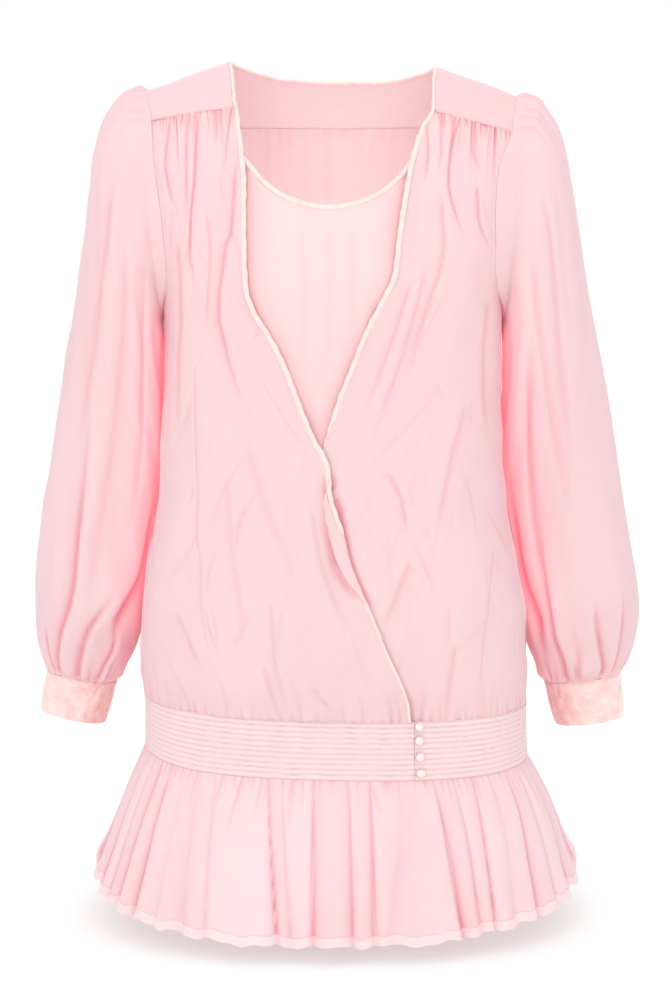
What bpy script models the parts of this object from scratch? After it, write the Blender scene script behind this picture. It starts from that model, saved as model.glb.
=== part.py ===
"""A filled-out chiffon wrap-front tunic with bishop sleeves, a tucked hip band and a gathered ruffle.

Metres, +Z up. +X is to the right seen from the front, and the front faces -Y. The origin is midway
between the neck ends of the shoulders, where the wearer's shoulders hold the garment. Every cut piece is
a thin closed wall on the surface of the body (body_point), of the ruffle (ruffle_point) or of a sleeve
(sleeve_point).
"""

import math

import bmesh
import bpy
from mathutils import Vector
from mathutils.geometry import tessellate_polygon

# ---------------------------------------------------------------- driving sizes
GAP = 0.0004  # between two pieces at a seam
CHIFFON = 0.0015  # wall of the body and sleeve pieces
RUFFLE_WALL = 0.0020
CUFF_WALL = 0.0022
BAND_WALL = 0.0022
BODY_POWER = 2.3  # how square the body's cross-section is: 2 is an ellipse
SLEEVE_POWER = 2.15

UNDERARM = -0.240
SHOULDER_START = -0.150  # height above which front and back curve over to the shoulder line
BAND_TOP = -0.634
BAND_BOTTOM = -0.6905
BAND_LEAN = 0.022  # the band sits lower on the right, by this share of x
HEM = -0.832
HEM_LIFT = 0.016  # the hem is this much higher at the sides

BINDING_WIDTH = 0.0050
BINDING_DEPTH = 0.0022
BINDING_PROUD = 0.0004
WRAP_LIFT = 0.0026  # how far the over front stands off the under front
INSERT_SINK = 0.0026  # how far the insert lies behind the fronts

YOKE_GATHERS = 12  # under each half of the front yoke
YOKE_GATHER_DEPTH = 0.0034
BACK_GATHERS = 14
BACK_GATHER_DEPTH = 0.0026
BAND_GATHER_DEPTH = 0.0016  # where the panels meet the hip band
LEAST_RELIEF = 0.0004
HEAD_GATHERS = 24  # so many round the whole sleeve head, of which only the upper ones are raised
HEAD_GATHER_DEPTH = 0.0030
CUFF_GATHERS = 32
CUFF_GATHER_DEPTH = 0.0022
RUFFLE_WAVES = 20  # on the front, and as many on the back
RUFFLE_BELLY = (0.004, 0.010)  # how far the ruffle's left and right sides bow out
TUCKS = 11
TUCK_PROUD = 0.0015
EDGE_TUCK_PROUD = 0.0020  # the top and bottom tucks are fuller

SCOOP_RADIUS = 0.0955
SCOOP_CENTRE = (-0.0035, -0.0525)  # x, height
SCOOP_ROUND = 0.075  # beyond this distance from its centre the scoop runs on straight
INSERT_OVERLAP = 0.012
INSERT_TOP = -0.085
INSERT_BOTTOM = -0.400

OPENING_X = 0.0778  # the band's buttoned opening
OPENING_RADIUS = 0.15  # of the band's curve at the opening
UNDER_CLEAR = 0.006  # the under front's gathers start this far from the over front's edge
BUTTON_RADIUS = 0.0042
BUTTON_HEIGHT = 0.0044
# proud is how far the tucks under a button stand off the body's surface
BUTTONS = (
    ("x", "height", "proud"),
    [
        (0.0818, -0.6390, EDGE_TUCK_PROUD),
        (0.0820, -0.6527, 0.0013),
        (0.0828, -0.6690, 0.0013),
        (0.0838, -0.6850, 0.0013),
    ],
)

# ---------------------------------------------------------------- section tables, top to bottom
BODY = (
    ("height", "left", "right", "front", "back"),
    [
        (0.040, 0.232, 0.232, 0.072, 0.104),
        (-0.030, 0.224, 0.224, 0.076, 0.104),
        (-0.083, 0.208, 0.208, 0.083, 0.102),
        (-0.1355, 0.191, 0.191, 0.092, 0.099),
        (-0.189, 0.179, 0.179, 0.102, 0.096),
        (-0.240, 0.1675, 0.1670, 0.110, 0.092),
        (-0.330, 0.1690, 0.1680, 0.108, 0.089),
        (-0.420, 0.1735, 0.1730, 0.110, 0.093),
        (-0.500, 0.1880, 0.1870, 0.118, 0.104),
        (-0.555, 0.1920, 0.1950, 0.126, 0.112),
        (-0.600, 0.1940, 0.1950, 0.127, 0.114),
        (-0.634, 0.1890, 0.1945, 0.122, 0.111),
        (-0.700, 0.1895, 0.1965, 0.122, 0.111),
    ],
)
ARMHOLE = (
    ("height", "left", "right"),
    [
        (0.040, 0.1840, 0.1840),
        (-0.030, 0.1820, 0.1815),
        (-0.060, 0.1760, 0.1750),
        (-0.072, 0.1750, 0.1730),
        (-0.090, 0.1735, 0.1655),
        (-0.110, 0.1715, 0.1590),
        (-0.150, 0.1660, 0.1560),
        (-0.184, 0.1630, 0.1570),
    ],
)
ARMHOLE_MIDDLE = -0.184  # below this the armhole closes in a half oval
ARMHOLE_POWER = 1.8
SHOULDER_LINE = (
    ("x", "height"),
    [
        (-0.230, -0.044),
        (-0.182, -0.028),
        (-0.140, -0.014),
        (-0.098, 0.001),
        (-0.057, 0.014),
        (0.000, 0.028),
        (0.057, 0.010),
        (0.098, -0.004),
        (0.140, -0.019),
        (0.182, -0.034),
        (0.230, -0.050),
    ],
)
# the free edges of the two fronts, which the binding's outer side follows
OVER_EDGE = (
    ("height", "x"),
    [
        (0.001, -0.0983),
        (-0.050, -0.0910),
        (-0.097, -0.0850),
        (-0.123, -0.0823),
        (-0.188, -0.0820),
        (-0.223, -0.0800),
        (-0.248, -0.0710),
        (-0.267, -0.0590),
        (-0.299, -0.0430),
        (-0.335, -0.0290),
        (-0.364, -0.0170),
        (-0.393, -0.0030),
        (-0.417, -0.0010),
        (-0.4525, 0.0100),
        (-0.477, 0.0150),
        (-0.503, 0.0245),
        (-0.531, 0.0370),
        (-0.571, 0.0530),
        (-0.594, 0.0635),
        (-0.6175, 0.0720),
        (-0.640, 0.0745),
    ],
)
UNDER_EDGE = (
    ("height", "x"),
    [
        (-0.005, 0.0980),
        (-0.053, 0.0930),
        (-0.071, 0.0830),
        (-0.093, 0.0760),
        (-0.123, 0.0690),
        (-0.167, 0.0620),
        (-0.208, 0.0570),
        (-0.239, 0.0430),
        (-0.264, 0.0300),
        (-0.298, 0.0166),
        (-0.326, 0.0050),
        (-0.3575, -0.0050),
        (-0.385, -0.0120),
        (-0.430, -0.0300),
        (-0.500, -0.0520),
        (-0.570, -0.0660),
        (-0.640, -0.0720),
    ],
)
# the yoke's neck border, left front to right front: x, and how far over the shoulder it is,
# from -1 at the front's start through 0 on the shoulder line to 1 at the back's start
NECK_BORDER = (
    ("x", "over"),
    [
        (-0.0960, -0.541),
        (-0.0990, -0.350),
        (-0.1018, -0.170),
        (-0.1033, 0.000),
        (-0.1000, 0.110),
        (-0.0905, 0.210),
        (-0.0750, 0.300),
        (-0.0500, 0.385),
        (0.0000, 0.455),
        (0.0500, 0.385),
        (0.0750, 0.300),
        (0.0905, 0.210),
        (0.1000, 0.110),
        (0.1030, 0.000),
        (0.1015, -0.170),
        (0.0995, -0.350),
        (0.0985, -0.539),
    ],
)
LEFT_YOKE_CORNER = (-0.1760, -0.484)  # x, over: where the front seam meets the armhole
RIGHT_YOKE_CORNER = (0.1730, -0.548)
BACK_SEAM = -0.060
YOKE_TURN = 0.24  # share of the yoke's length that runs along each armhole

# a row for each section of a sleeve: its outer and inner point seen from the front, its half depth and
# its centre's y
SLEEVE_COLUMNS = ("outer_x", "outer_z", "inner_x", "inner_z", "half_depth", "centre_y")
LEFT_SLEEVE = (
    SLEEVE_COLUMNS,
    [
        (0.1900, -0.0262, 0.1698, -0.2530, 0.051, 0.002),
        (0.2030, -0.0302, 0.1700, -0.2640, 0.055, 0.003),
        (0.2170, -0.0446, 0.1702, -0.2760, 0.058, 0.004),
        (0.2277, -0.0610, 0.1703, -0.2880, 0.061, 0.006),
        (0.2345, -0.0800, 0.1704, -0.3010, 0.063, 0.008),
        (0.2396, -0.1160, 0.1705, -0.3190, 0.064, 0.010),
        (0.2473, -0.1715, 0.1706, -0.3450, 0.063, 0.013),
        (0.2571, -0.2270, 0.1712, -0.3720, 0.061, 0.017),
        (0.2665, -0.2830, 0.1722, -0.4020, 0.059, 0.022),
        (0.2770, -0.3400, 0.1752, -0.4370, 0.058, 0.027),
        (0.2857, -0.3890, 0.1800, -0.4680, 0.058, 0.031),
        (0.2940, -0.4400, 0.1855, -0.5020, 0.060, 0.034),
        (0.3000, -0.4845, 0.1890, -0.5320, 0.062, 0.036),
        (0.3040, -0.5230, 0.1925, -0.5560, 0.062, 0.036),
        (0.3050, -0.5530, 0.2005, -0.5780, 0.058, 0.036),
        (0.3030, -0.5800, 0.2105, -0.6010, 0.050, 0.036),
        (0.2976, -0.6000, 0.2195, -0.6180, 0.041, 0.035),
        (0.2938, -0.6100, 0.2238, -0.6226, 0.034, 0.034),
    ],
)
RIGHT_SLEEVE = (
    SLEEVE_COLUMNS,
    [
        (0.1885, -0.0318, 0.1698, -0.2530, 0.051, 0.002),
        (0.1995, -0.0340, 0.1700, -0.2640, 0.055, 0.003),
        (0.2112, -0.0470, 0.1702, -0.2760, 0.058, 0.004),
        (0.2199, -0.0600, 0.1703, -0.2880, 0.061, 0.006),
        (0.2271, -0.0785, 0.1704, -0.3010, 0.063, 0.008),
        (0.2345, -0.1120, 0.1705, -0.3190, 0.064, 0.010),
        (0.2440, -0.1600, 0.1706, -0.3450, 0.063, 0.013),
        (0.2535, -0.2150, 0.1712, -0.3720, 0.061, 0.017),
        (0.2650, -0.2750, 0.1722, -0.4020, 0.059, 0.022),
        (0.2768, -0.3340, 0.1752, -0.4370, 0.058, 0.027),
        (0.2865, -0.3870, 0.1800, -0.4680, 0.058, 0.031),
        (0.2960, -0.4400, 0.1855, -0.5020, 0.060, 0.034),
        (0.3055, -0.4890, 0.1915, -0.5300, 0.062, 0.036),
        (0.3115, -0.5230, 0.1950, -0.5520, 0.062, 0.036),
        (0.3133, -0.5480, 0.1975, -0.5750, 0.058, 0.036),
        (0.3105, -0.5740, 0.2065, -0.5990, 0.050, 0.036),
        (0.3035, -0.5980, 0.2135, -0.6160, 0.041, 0.035),
        (0.2958, -0.6122, 0.2182, -0.6226, 0.034, 0.034),
    ],
)
CUFFS = (
    ("side", "top_outer_x", "top_outer_z", "top_inner_x", "top_inner_z",
     "end_outer_x", "end_outer_z", "end_inner_x", "end_inner_z"),
    [
        (-1, 0.2933, -0.6106, 0.2235, -0.6232, 0.3011, -0.6514, 0.2353, -0.6655),
        (1, 0.2952, -0.6127, 0.2181, -0.6232, 0.2990, -0.6580, 0.2299, -0.6670),
    ],
)
CUFF_POINTS = 32
CUFF_SWELL = 0.0008
CUFF_HALF_DEPTH = 0.0335
CUFF_END_HALF_DEPTH = 0.0315
CUFF_CENTRE_Y = 0.034

HEM_SECTION = {"left": 0.2405, "right": 0.2470, "front": 0.192, "back": 0.182}

COLOURS = {
    "chiffon": ((0.93, 0.66, 0.70), 0.75),
    "insert_chiffon": ((0.94, 0.72, 0.75), 0.75),
    "band_chiffon": ((0.94, 0.70, 0.72), 0.70),
    "binding_satin": ((0.95, 0.78, 0.74), 0.40),
    "cuff_satin": ((0.94, 0.74, 0.70), 0.38),
    "button_satin": ((0.95, 0.80, 0.76), 0.45),
}


# ---------------------------------------------------------------- reading the tables
def smooth_read(places, values, place):
    """Value at place on a curve through the table that never overshoots between two rows."""
    if places[0] > places[-1]:
        places, values = places[::-1], values[::-1]
    if place <= places[0]:
        return values[0]
    if place >= places[-1]:
        return values[-1]
    row = 0
    while places[row + 1] < place:
        row += 1

    def step(i):
        return places[i + 1] - places[i]

    def rise(i):
        return (values[i + 1] - values[i]) / step(i)

    def slope(i):
        if i == 0:
            return rise(0)
        if i == len(places) - 1:
            return rise(i - 1)
        before, after = rise(i - 1), rise(i)
        if before * after <= 0:
            return 0.0
        return 2 * before * after / (before + after)

    span = step(row)
    part = (place - places[row]) / span
    return (
        values[row] * (1 + 2 * part) * (1 - part) ** 2
        + slope(row) * span * part * (1 - part) ** 2
        + values[row + 1] * part**2 * (3 - 2 * part)
        + slope(row + 1) * span * part**2 * (part - 1)
    )


def column(table, name):
    names, rows = table
    index = names.index(name)
    return [row[index] for row in rows]


def read(table, name, place, by=None):
    """A table's named column at a place given in its first column, or by row number."""
    values = column(table, name)
    places = list(range(len(values))) if by == "row" else column(table, table[0][0])
    return smooth_read(places, values, place)


def ease(start, end, value):
    """0 before start, 1 after end, smooth between."""
    part = min(1.0, max(0.0, (value - start) / (end - start)))
    return part * part * (3 - 2 * part)


def mix(first, second, part):
    return first + (second - first) * part


def signed_power(value, power):
    return math.copysign(abs(value) ** power, value)


# ---------------------------------------------------------------- the body surface
def half_width(side, height):
    return read(BODY, "right" if side > 0 else "left", height)


def over_shoulder(x, height):
    """How far the surface has closed in at this height, from 1 below the shoulder to 0 on its line."""
    if height <= SHOULDER_START:
        return 1.0
    top = read(SHOULDER_LINE, "height", x)
    share = min(1.0, (height - SHOULDER_START) / (top - SHOULDER_START))
    return math.sqrt(1 - share * share)


def turn_of(x, height):
    """The turn round the body at which its surface has this x, on the front."""
    share = min(1.0, abs(x) / half_width(x, height))
    return math.copysign(math.asin(share ** (BODY_POWER / 2)), x)


def body_point(turn, height):
    """A point of the body. turn is 0 at the centre front, a right angle at the right side, pi at the back."""
    x = half_width(math.sin(turn), height) * signed_power(math.sin(turn), 2 / BODY_POWER)
    front = math.cos(turn) > 0
    depth = read(BODY, "front" if front else "back", height)
    y = -depth * signed_power(math.cos(turn), 2 / BODY_POWER) * over_shoulder(x, height)
    return Vector((x, y, height))


def yoke_point(x, over):
    """A point of the same surface near the shoulder, by x and by how far over the shoulder it is."""
    angle = (1 - abs(over)) * math.pi / 2
    top = read(SHOULDER_LINE, "height", x)
    height = SHOULDER_START + (top - SHOULDER_START) * math.sin(angle)
    depth = read(BODY, "front" if over < 0 else "back", height)
    wide = min(1.0, abs(x) / half_width(x, height))
    y = math.copysign(depth * (1 - wide**BODY_POWER) ** (1 / BODY_POWER) * math.cos(angle), over)
    return Vector((x, y, height))


def over_at(x, height, side):
    """The yoke coordinate of a height, on the front (side -1) or the back (side 1)."""
    top = read(SHOULDER_LINE, "height", x)
    share = min(1.0, (height - SHOULDER_START) / (top - SHOULDER_START))
    return side * (1 - math.asin(share) / (math.pi / 2))


BODY_CORE = Vector((0.0, 0.0, -0.30))
NORMAL_STEP = 0.0008


def surface_normal(surface, a, b, core):
    """The unit normal of a two-way surface, on the side away from core."""
    along_a = surface(a + NORMAL_STEP, b) - surface(a - NORMAL_STEP, b)
    along_b = surface(a, b + NORMAL_STEP) - surface(a, b - NORMAL_STEP)
    normal = along_a.cross(along_b).normalized()
    return normal if normal.dot(surface(a, b) - core) > 0 else -normal


def body_normal(turn, height):
    core = Vector((0.0, 0.0, min(height, -0.20)))
    return surface_normal(body_point, turn, height, core)


def yoke_normal(x, over):
    return surface_normal(yoke_point, x, over, BODY_CORE)


# ---------------------------------------------------------------- closed walls
def zipped(first, second):
    """Triangles between two lines of points, which may have unlike counts."""
    faces = []
    i = j = 0
    last_i, last_j = len(first) - 1, len(second) - 1
    while i < last_i or j < last_j:
        next_i = (i + 1) / last_i if i < last_i else 2.0
        next_j = (j + 1) / last_j if j < last_j else 2.0
        if abs(next_i - next_j) < 1e-9:
            faces.append((first[i], first[i + 1], second[j + 1]))
            faces.append((first[i], second[j + 1], second[j]))
            i, j = i + 1, j + 1
        elif next_i < next_j:
            faces.append((first[i], first[i + 1], second[j]))
            i += 1
        else:
            faces.append((first[i], second[j + 1], second[j]))
            j += 1
    return faces


def flat_end(numbers, points):
    """Triangles that fill a flat outline of numbered points."""
    corners = tessellate_polygon([[points[number] for number in numbers]])
    return [[numbers[corner] for corner in triangle] for triangle in corners]


def make_object(name, points, faces, material):
    mesh = bpy.data.meshes.new(name)
    shape = bmesh.new()
    corners = [shape.verts.new(point) for point in points]
    for face in faces:
        shape.faces.new([corners[index] for index in face])
    bmesh.ops.triangulate(shape, faces=shape.faces[:], ngon_method="EAR_CLIP")
    bmesh.ops.recalc_face_normals(shape, faces=shape.faces[:])
    shape.to_mesh(mesh)
    shape.free()
    mesh.shade_smooth()
    mesh.set_sharp_from_angle(angle=math.radians(50))
    made = bpy.data.objects.new(name, mesh)
    made.data.materials.append(material)
    GARMENT.objects.link(made)
    return made


def make_wall(name, outer_rows, inner_rows, material, closed=False):
    """A closed wall between two grids of points. A closed wall's rows are rings."""
    points = []

    def add(rows):
        numbered = []
        for row in rows:
            start = len(points)
            points.extend(row)
            numbers = list(range(start, start + len(row)))
            numbered.append(numbers + [start] if closed else numbers)
        return numbered

    outer, inner = add(outer_rows), add(inner_rows)
    faces = []
    for grid in (outer, inner):
        for upper, lower in zip(grid, grid[1:]):
            faces += zipped(upper, lower)
    for end in (0, -1):
        faces += zipped(outer[end], inner[end])
    if not closed:
        for side in (0, -1):
            near, far = [row[side] for row in outer], [row[side] for row in inner]
            faces += zipped(near, far) if len(near) == len(far) else flat_end(near + far[::-1], points)
    return make_object(name, points, faces, material)


def spaced(count, start=0.0, end=1.0):
    return [mix(start, end, i / (count - 1)) for i in range(count)]


def ridges(count, place):
    """0 in a valley and 1 on a ridge, with count ridges from 0 to 1."""
    return 0.5 - 0.5 * math.cos(2 * math.pi * count * place)


# ---------------------------------------------------------------- body pieces
def band_top(x):
    return BAND_TOP - BAND_LEAN * x


def band_bottom(x):
    return BAND_BOTTOM - BAND_LEAN * x


def front_seam(x):
    """Height of the yoke's front seam."""
    inner, outer = (
        (column(NECK_BORDER, "x")[0], column(NECK_BORDER, "over")[0]), LEFT_YOKE_CORNER
    ) if x < 0 else (
        (column(NECK_BORDER, "x")[-1], column(NECK_BORDER, "over")[-1]), RIGHT_YOKE_CORNER
    )
    over = mix(inner[1], outer[1], (x - inner[0]) / (outer[0] - inner[0]))
    return yoke_point(x, over).z


def armhole_x(side, height):
    """The armhole's x on the side of this sign."""
    return math.copysign(read(ARMHOLE, "right" if side > 0 else "left", height), side)


def side_turn(side, height):
    """How far round a body piece runs: to the armhole above the underarm, to the side seam below it."""
    if height <= UNDERARM:
        return math.pi / 2
    if height >= ARMHOLE_MIDDLE:
        return abs(turn_of(armhole_x(side, height), height))
    middle = math.cos(turn_of(armhole_x(side, ARMHOLE_MIDDLE), ARMHOLE_MIDDLE))
    part = (ARMHOLE_MIDDLE - height) / (ARMHOLE_MIDDLE - UNDERARM)
    closing = (1 - part**ARMHOLE_POWER) ** (1 / ARMHOLE_POWER)
    return math.acos(middle * closing ** (BODY_POWER / 2))


PLACE_ROUNDS = 4  # a place's height depends on its x and its x on its height, so the two are found in turns


def front_place(side, edge, u, v):
    """Turn and height on a front: u runs from its edge to its side, v from the yoke seam to the band."""
    height = mix(front_seam(armhole_x(side, ARMHOLE_MIDDLE)), BAND_TOP, v)
    for _ in range(PLACE_ROUNDS):
        border = read(edge, "x", height) + side * BINDING_WIDTH
        turn = mix(turn_of(border, height), side * side_turn(side, height), u)
        x = body_point(turn, height).x
        height = mix(front_seam(x) - GAP, band_top(x) + GAP, v)
    return turn, height


def wrap_lift(x, height):
    """How far the over front stands off where the two fronts overlap."""
    return WRAP_LIFT * ease(-0.325, -0.375, height) * ease(-0.150, -0.100, x)


def front_gathers(u, v):
    top = YOKE_GATHER_DEPTH * (1 - ease(0.0, 0.40, v)) + LEAST_RELIEF
    low = BAND_GATHER_DEPTH * ease(0.93, 1.0, v)
    beside_sleeve = ease(0.85, 1.0, u) * ease(0.12, 0.24, v)
    return ridges(YOKE_GATHERS, u) * (top + low) * (1 - beside_sleeve)


UNDERARM_SHARE = 0.3135  # v at which the fronts' and back's borders pass the underarm
# rows from the yoke seam to the band, in three stretches: gathered, plain and gathered again
GATHERED_ROWS = spaced(8, 0.0, UNDERARM_SHARE) + [0.365]
PLAIN_ROWS = spaced(9, 0.42, 0.88)
BAND_ROWS = [0.94, 1.0]


def panel_rows(gathers):
    """Each row's share of the height, and how many points it has."""
    gathered = [(v, 2 * gathers + 1) for v in GATHERED_ROWS]
    plain = [(v, gathers + 1) for v in PLAIN_ROWS]
    return gathered + plain + [(v, 2 * gathers + 1) for v in BAND_ROWS]


def front_rows(side, edge, relief, lift):
    outer_rows, inner_rows, border = [], [], []
    for v, count in panel_rows(YOKE_GATHERS):
        outer, inner = [], []
        for u in spaced(count):
            turn, height = front_place(side, edge, u, v)
            normal = body_normal(turn, height)
            base = body_point(turn, height)
            base = base + normal * lift(base.x, height) + Vector((0, -GAP / 2, 0))
            if u == 0:
                border.append((base, normal))
            outer.append(base + normal * relief(u, v, base.x, height))
            inner.append(base - normal * CHIFFON)
        outer_rows.append(outer)
        inner_rows.append(inner)
    return outer_rows, inner_rows, border


def over_relief(u, v, x, height):
    return front_gathers(u, v)


def under_relief(u, v, x, height):
    clear = read(OVER_EDGE, "x", height) + UNDER_CLEAR
    return front_gathers(u, v) * ease(clear, clear + UNDER_CLEAR, x)


def no_lift(x, height):
    return 0.0


def back_place(u, v):
    """Turn and height on the back: u runs from the right side to the left, v from yoke seam to band."""
    height = mix(BACK_SEAM, BAND_TOP, v)
    for _ in range(PLACE_ROUNDS):
        turn = mix(math.pi - side_turn(1, height), math.pi + side_turn(-1, height), u)
        x = body_point(turn, height).x
        height = mix(BACK_SEAM - GAP, band_top(x) + GAP, v)
    return turn, height


def back_rows():
    outer_rows, inner_rows = [], []
    for v, count in panel_rows(BACK_GATHERS):
        outer, inner = [], []
        for u in spaced(count):
            turn, height = back_place(u, v)
            normal = body_normal(turn, height)
            base = body_point(turn, height) + Vector((0, GAP / 2, 0))
            rise = BACK_GATHER_DEPTH * (1 - ease(0.0, 0.38, v)) + BAND_GATHER_DEPTH * ease(0.93, 1.0, v)
            outer.append(base + normal * (rise + LEAST_RELIEF) * ridges(BACK_GATHERS, u))
            inner.append(base - normal * CHIFFON)
        outer_rows.append(outer)
        inner_rows.append(inner)
    return outer_rows, inner_rows


def neck_border(u):
    last = len(NECK_BORDER[1]) - 1
    return read(NECK_BORDER, "x", u * last, "row"), read(NECK_BORDER, "over", u * last, "row")


def yoke_outer_border(u):
    """The yoke's armhole and back seam, left front corner to right front corner."""
    left, right = armhole_x(-1, BACK_SEAM), armhole_x(1, BACK_SEAM)
    for corner, back_x, part in (
        (LEFT_YOKE_CORNER, left, u / YOKE_TURN),
        (RIGHT_YOKE_CORNER, right, (1 - u) / YOKE_TURN),
    ):
        if part <= 1:
            over = mix(corner[1], over_at(back_x, BACK_SEAM, 1), part)
            return armhole_x(back_x, yoke_point(back_x, over).z), over
    x = mix(left, right, (u - YOKE_TURN) / (1 - 2 * YOKE_TURN))
    return x, over_at(x, BACK_SEAM, 1)


YOKE_SIDE = spaced(7, 0.0, YOKE_TURN)
YOKE_MIDDLE = spaced(13, YOKE_TURN, 1 - YOKE_TURN)[1:-1]
YOKE_LENGTH = YOKE_SIDE + YOKE_MIDDLE + [1 - u for u in reversed(YOKE_SIDE)]


def yoke_rows():
    outer_rows, inner_rows, border = [], [], []
    for v in spaced(4):
        outer, inner = [], []
        for u in YOKE_LENGTH:
            near, far = neck_border(u), yoke_outer_border(u)
            x, over = mix(near[0], far[0], v), mix(near[1], far[1], v)
            normal = yoke_normal(x, over)
            point = yoke_point(x, over)
            if v == 0:
                border.append((point, normal))
            outer.append(point)
            inner.append(point - normal * CHIFFON)
        outer_rows.append(outer)
        inner_rows.append(inner)
    return outer_rows, inner_rows, border


def scoop_height(x):
    """The insert's top border: a circle, running on straight at its ends."""
    across = abs(x - SCOOP_CENTRE[0])
    held = min(across, SCOOP_ROUND)
    drop = math.sqrt(SCOOP_RADIUS**2 - held**2)
    return SCOOP_CENTRE[1] - drop + (across - held) * held / drop


def insert_place(u, v):
    level = mix(INSERT_TOP, INSERT_BOTTOM, v)
    reach = BINDING_WIDTH + INSERT_OVERLAP
    left = read(OVER_EDGE, "x", level) - reach
    right = read(UNDER_EDGE, "x", level) + reach
    top_left = read(OVER_EDGE, "x", INSERT_TOP) - reach
    top_right = read(UNDER_EDGE, "x", INSERT_TOP) + reach
    x = mix(left, right, u)
    height = mix(scoop_height(mix(top_left, top_right, u)), INSERT_BOTTOM, v)
    return x, height


def insert_rows():
    outer_rows, inner_rows, border = [], [], []
    for v in spaced(8):
        outer, inner = [], []
        for u in spaced(15):
            x, height = insert_place(u, v)
            turn = turn_of(x, height)
            normal = body_normal(turn, height)
            point = body_point(turn, height) - normal * INSERT_SINK
            if v == 0:
                border.append((point, normal))
            outer.append(point)
            inner.append(point - normal * CHIFFON)
        outer_rows.append(outer)
        inner_rows.append(inner)
    return outer_rows, inner_rows, border


def joined(first, second):
    """Two borders as one, with their meeting ends halved into one point."""
    (end, end_normal), (start, start_normal) = first[-1], second[0]
    meeting = ((end + start) / 2, (end_normal + start_normal).normalized())
    return first[:-1] + [meeting] + second[1:]


def make_binding(name, border, inward, material):
    """A flat strip beyond a border. border holds points and normals. inward turns the strip to the
    border's left (1) or right (-1), seen from outside."""
    sections = []
    for i, (point, normal) in enumerate(border):
        before, after = border[max(0, i - 1)][0], border[min(len(border) - 1, i + 1)][0]
        along = (after - before).normalized()
        across = normal.cross(along).normalized() * inward
        near, far = point + across * GAP, point + across * BINDING_WIDTH
        low, high = normal * (BINDING_PROUD - BINDING_DEPTH), normal * BINDING_PROUD
        sections.append([near + low, near + high, far + high, far + low])
    points = [point for section in sections for point in section]
    faces = []
    for k in range(len(sections) - 1):
        here, there = 4 * k, 4 * (k + 1)
        for i in range(4):
            j = (i + 1) % 4
            faces.append((here + i, here + j, there + j, there + i))
    last = 4 * (len(sections) - 1)
    faces.append((3, 2, 1, 0))
    faces.append((last, last + 1, last + 2, last + 3))
    return make_object(name, points, faces, material)


# ---------------------------------------------------------------- sleeves and cuffs
def oval(outer, inner, half_depth, centre_y, angle, power):
    """A point on an oval whose long axis, seen from the front, is from outer (angle 0) to inner."""
    centre = (outer + inner) / 2
    reach = (outer - inner) / 2
    along = signed_power(math.cos(angle), 2 / power)
    across = signed_power(math.sin(angle), 2 / power)
    return Vector((centre.x + reach.x * along, centre_y - half_depth * across, centre.z + reach.z * along))


def armhole_point(side, angle):
    """A point of the armhole. angle is 0 on the shoulder, pi at the underarm, and front between them."""
    tip = read(SHOULDER_LINE, "height", side * 0.182)
    centre, reach = (tip + UNDERARM) / 2, (tip - UNDERARM) / 2
    height = centre + reach * math.cos(angle)
    turn = side_turn(side, height)
    return body_point(side * (turn if math.sin(angle) > 0 else math.pi - turn), height)


def sleeve_ring(table, side, row, angle):
    def value(name):
        return read(table, name, row, "row")

    outer = Vector((side * value("outer_x"), 0, value("outer_z")))
    inner = Vector((side * value("inner_x"), 0, value("inner_z")))
    return oval(outer, inner, value("half_depth"), value("centre_y"), angle, SLEEVE_POWER)


SLEEVE_JOIN = 1.0  # the sleeve's first stretch, from the armhole to its first section
SLEEVE_SHIFT = 0.0015  # more room between armhole and sleeve where the two run side by side
SLEEVE_STEP = 0.02


def sleeve_point(table, side, angle, row):
    """A point of a sleeve. row is 0 at the armhole and counts the table's sections from 1."""
    if row >= SLEEVE_JOIN:
        return sleeve_ring(table, side, row - SLEEVE_JOIN, angle)
    start = armhole_point(side, angle)
    start.x += side * (GAP + SLEEVE_SHIFT * abs(math.sin(angle)))
    return start.lerp(sleeve_ring(table, side, 0, angle), max(0.0, row))


def sleeve_normal(table, side, angle, row):
    last = len(table[1])
    row = max(row, SLEEVE_JOIN)

    def point(turned, down):
        return sleeve_point(table, side, turned, min(last, max(0, down)))

    along = point(angle, row + SLEEVE_STEP) - point(angle, row - SLEEVE_STEP)
    around = point(angle + SLEEVE_STEP, row) - point(angle - SLEEVE_STEP, row)
    normal = along.cross(around).normalized()
    middle = (point(0, row) + point(math.pi, row)) / 2
    return normal if normal.dot(point(angle, row) - middle) > 0 else -normal


SLEEVE_LINES = (
    ("row", "points round one half"),
    [
        (0.0, 25), (1.0, 25), (2.4, 25), (4.2, 25),
        (6.5, 17), (9.0, 17), (11.5, 17), (14.0, 17), (15.4, 17),
        (16.7, 33), (18.0, 33),
    ],
)


def sleeve_relief(angle, row):
    turned = abs((angle + math.pi) % (2 * math.pi) - math.pi)
    upper = 1 - ease(1.5, 2.0, turned)
    share = angle / (2 * math.pi)
    head = HEAD_GATHER_DEPTH * upper * ease(0.0, 0.9, row) * (1 - ease(2.0, 6.0, row))
    low = CUFF_GATHER_DEPTH * ease(15.2, 17.2, row) * (1 - 0.7 * ease(17.4, 18.0, row))
    return head * ridges(HEAD_GATHERS, share) + low * ridges(CUFF_GATHERS, share)


def make_sleeve_half(name, table, side, start, material):
    """The half of a sleeve from this angle on: 0 for the front half and pi for the back half."""
    seam = Vector((0, -GAP / 2 if start == 0 else GAP / 2, 0))
    outer_rows, inner_rows = [], []
    for row, count in SLEEVE_LINES[1]:
        outer, inner = [], []
        for angle in spaced(count, start, start + math.pi):
            base = sleeve_point(table, side, angle, row) + seam
            normal = sleeve_normal(table, side, angle, row)
            outer.append(base + normal * sleeve_relief(angle, row))
            inner.append(base - normal * CHIFFON)
        outer_rows.append(outer)
        inner_rows.append(inner)
    return make_wall(name, outer_rows, inner_rows, material)


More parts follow.
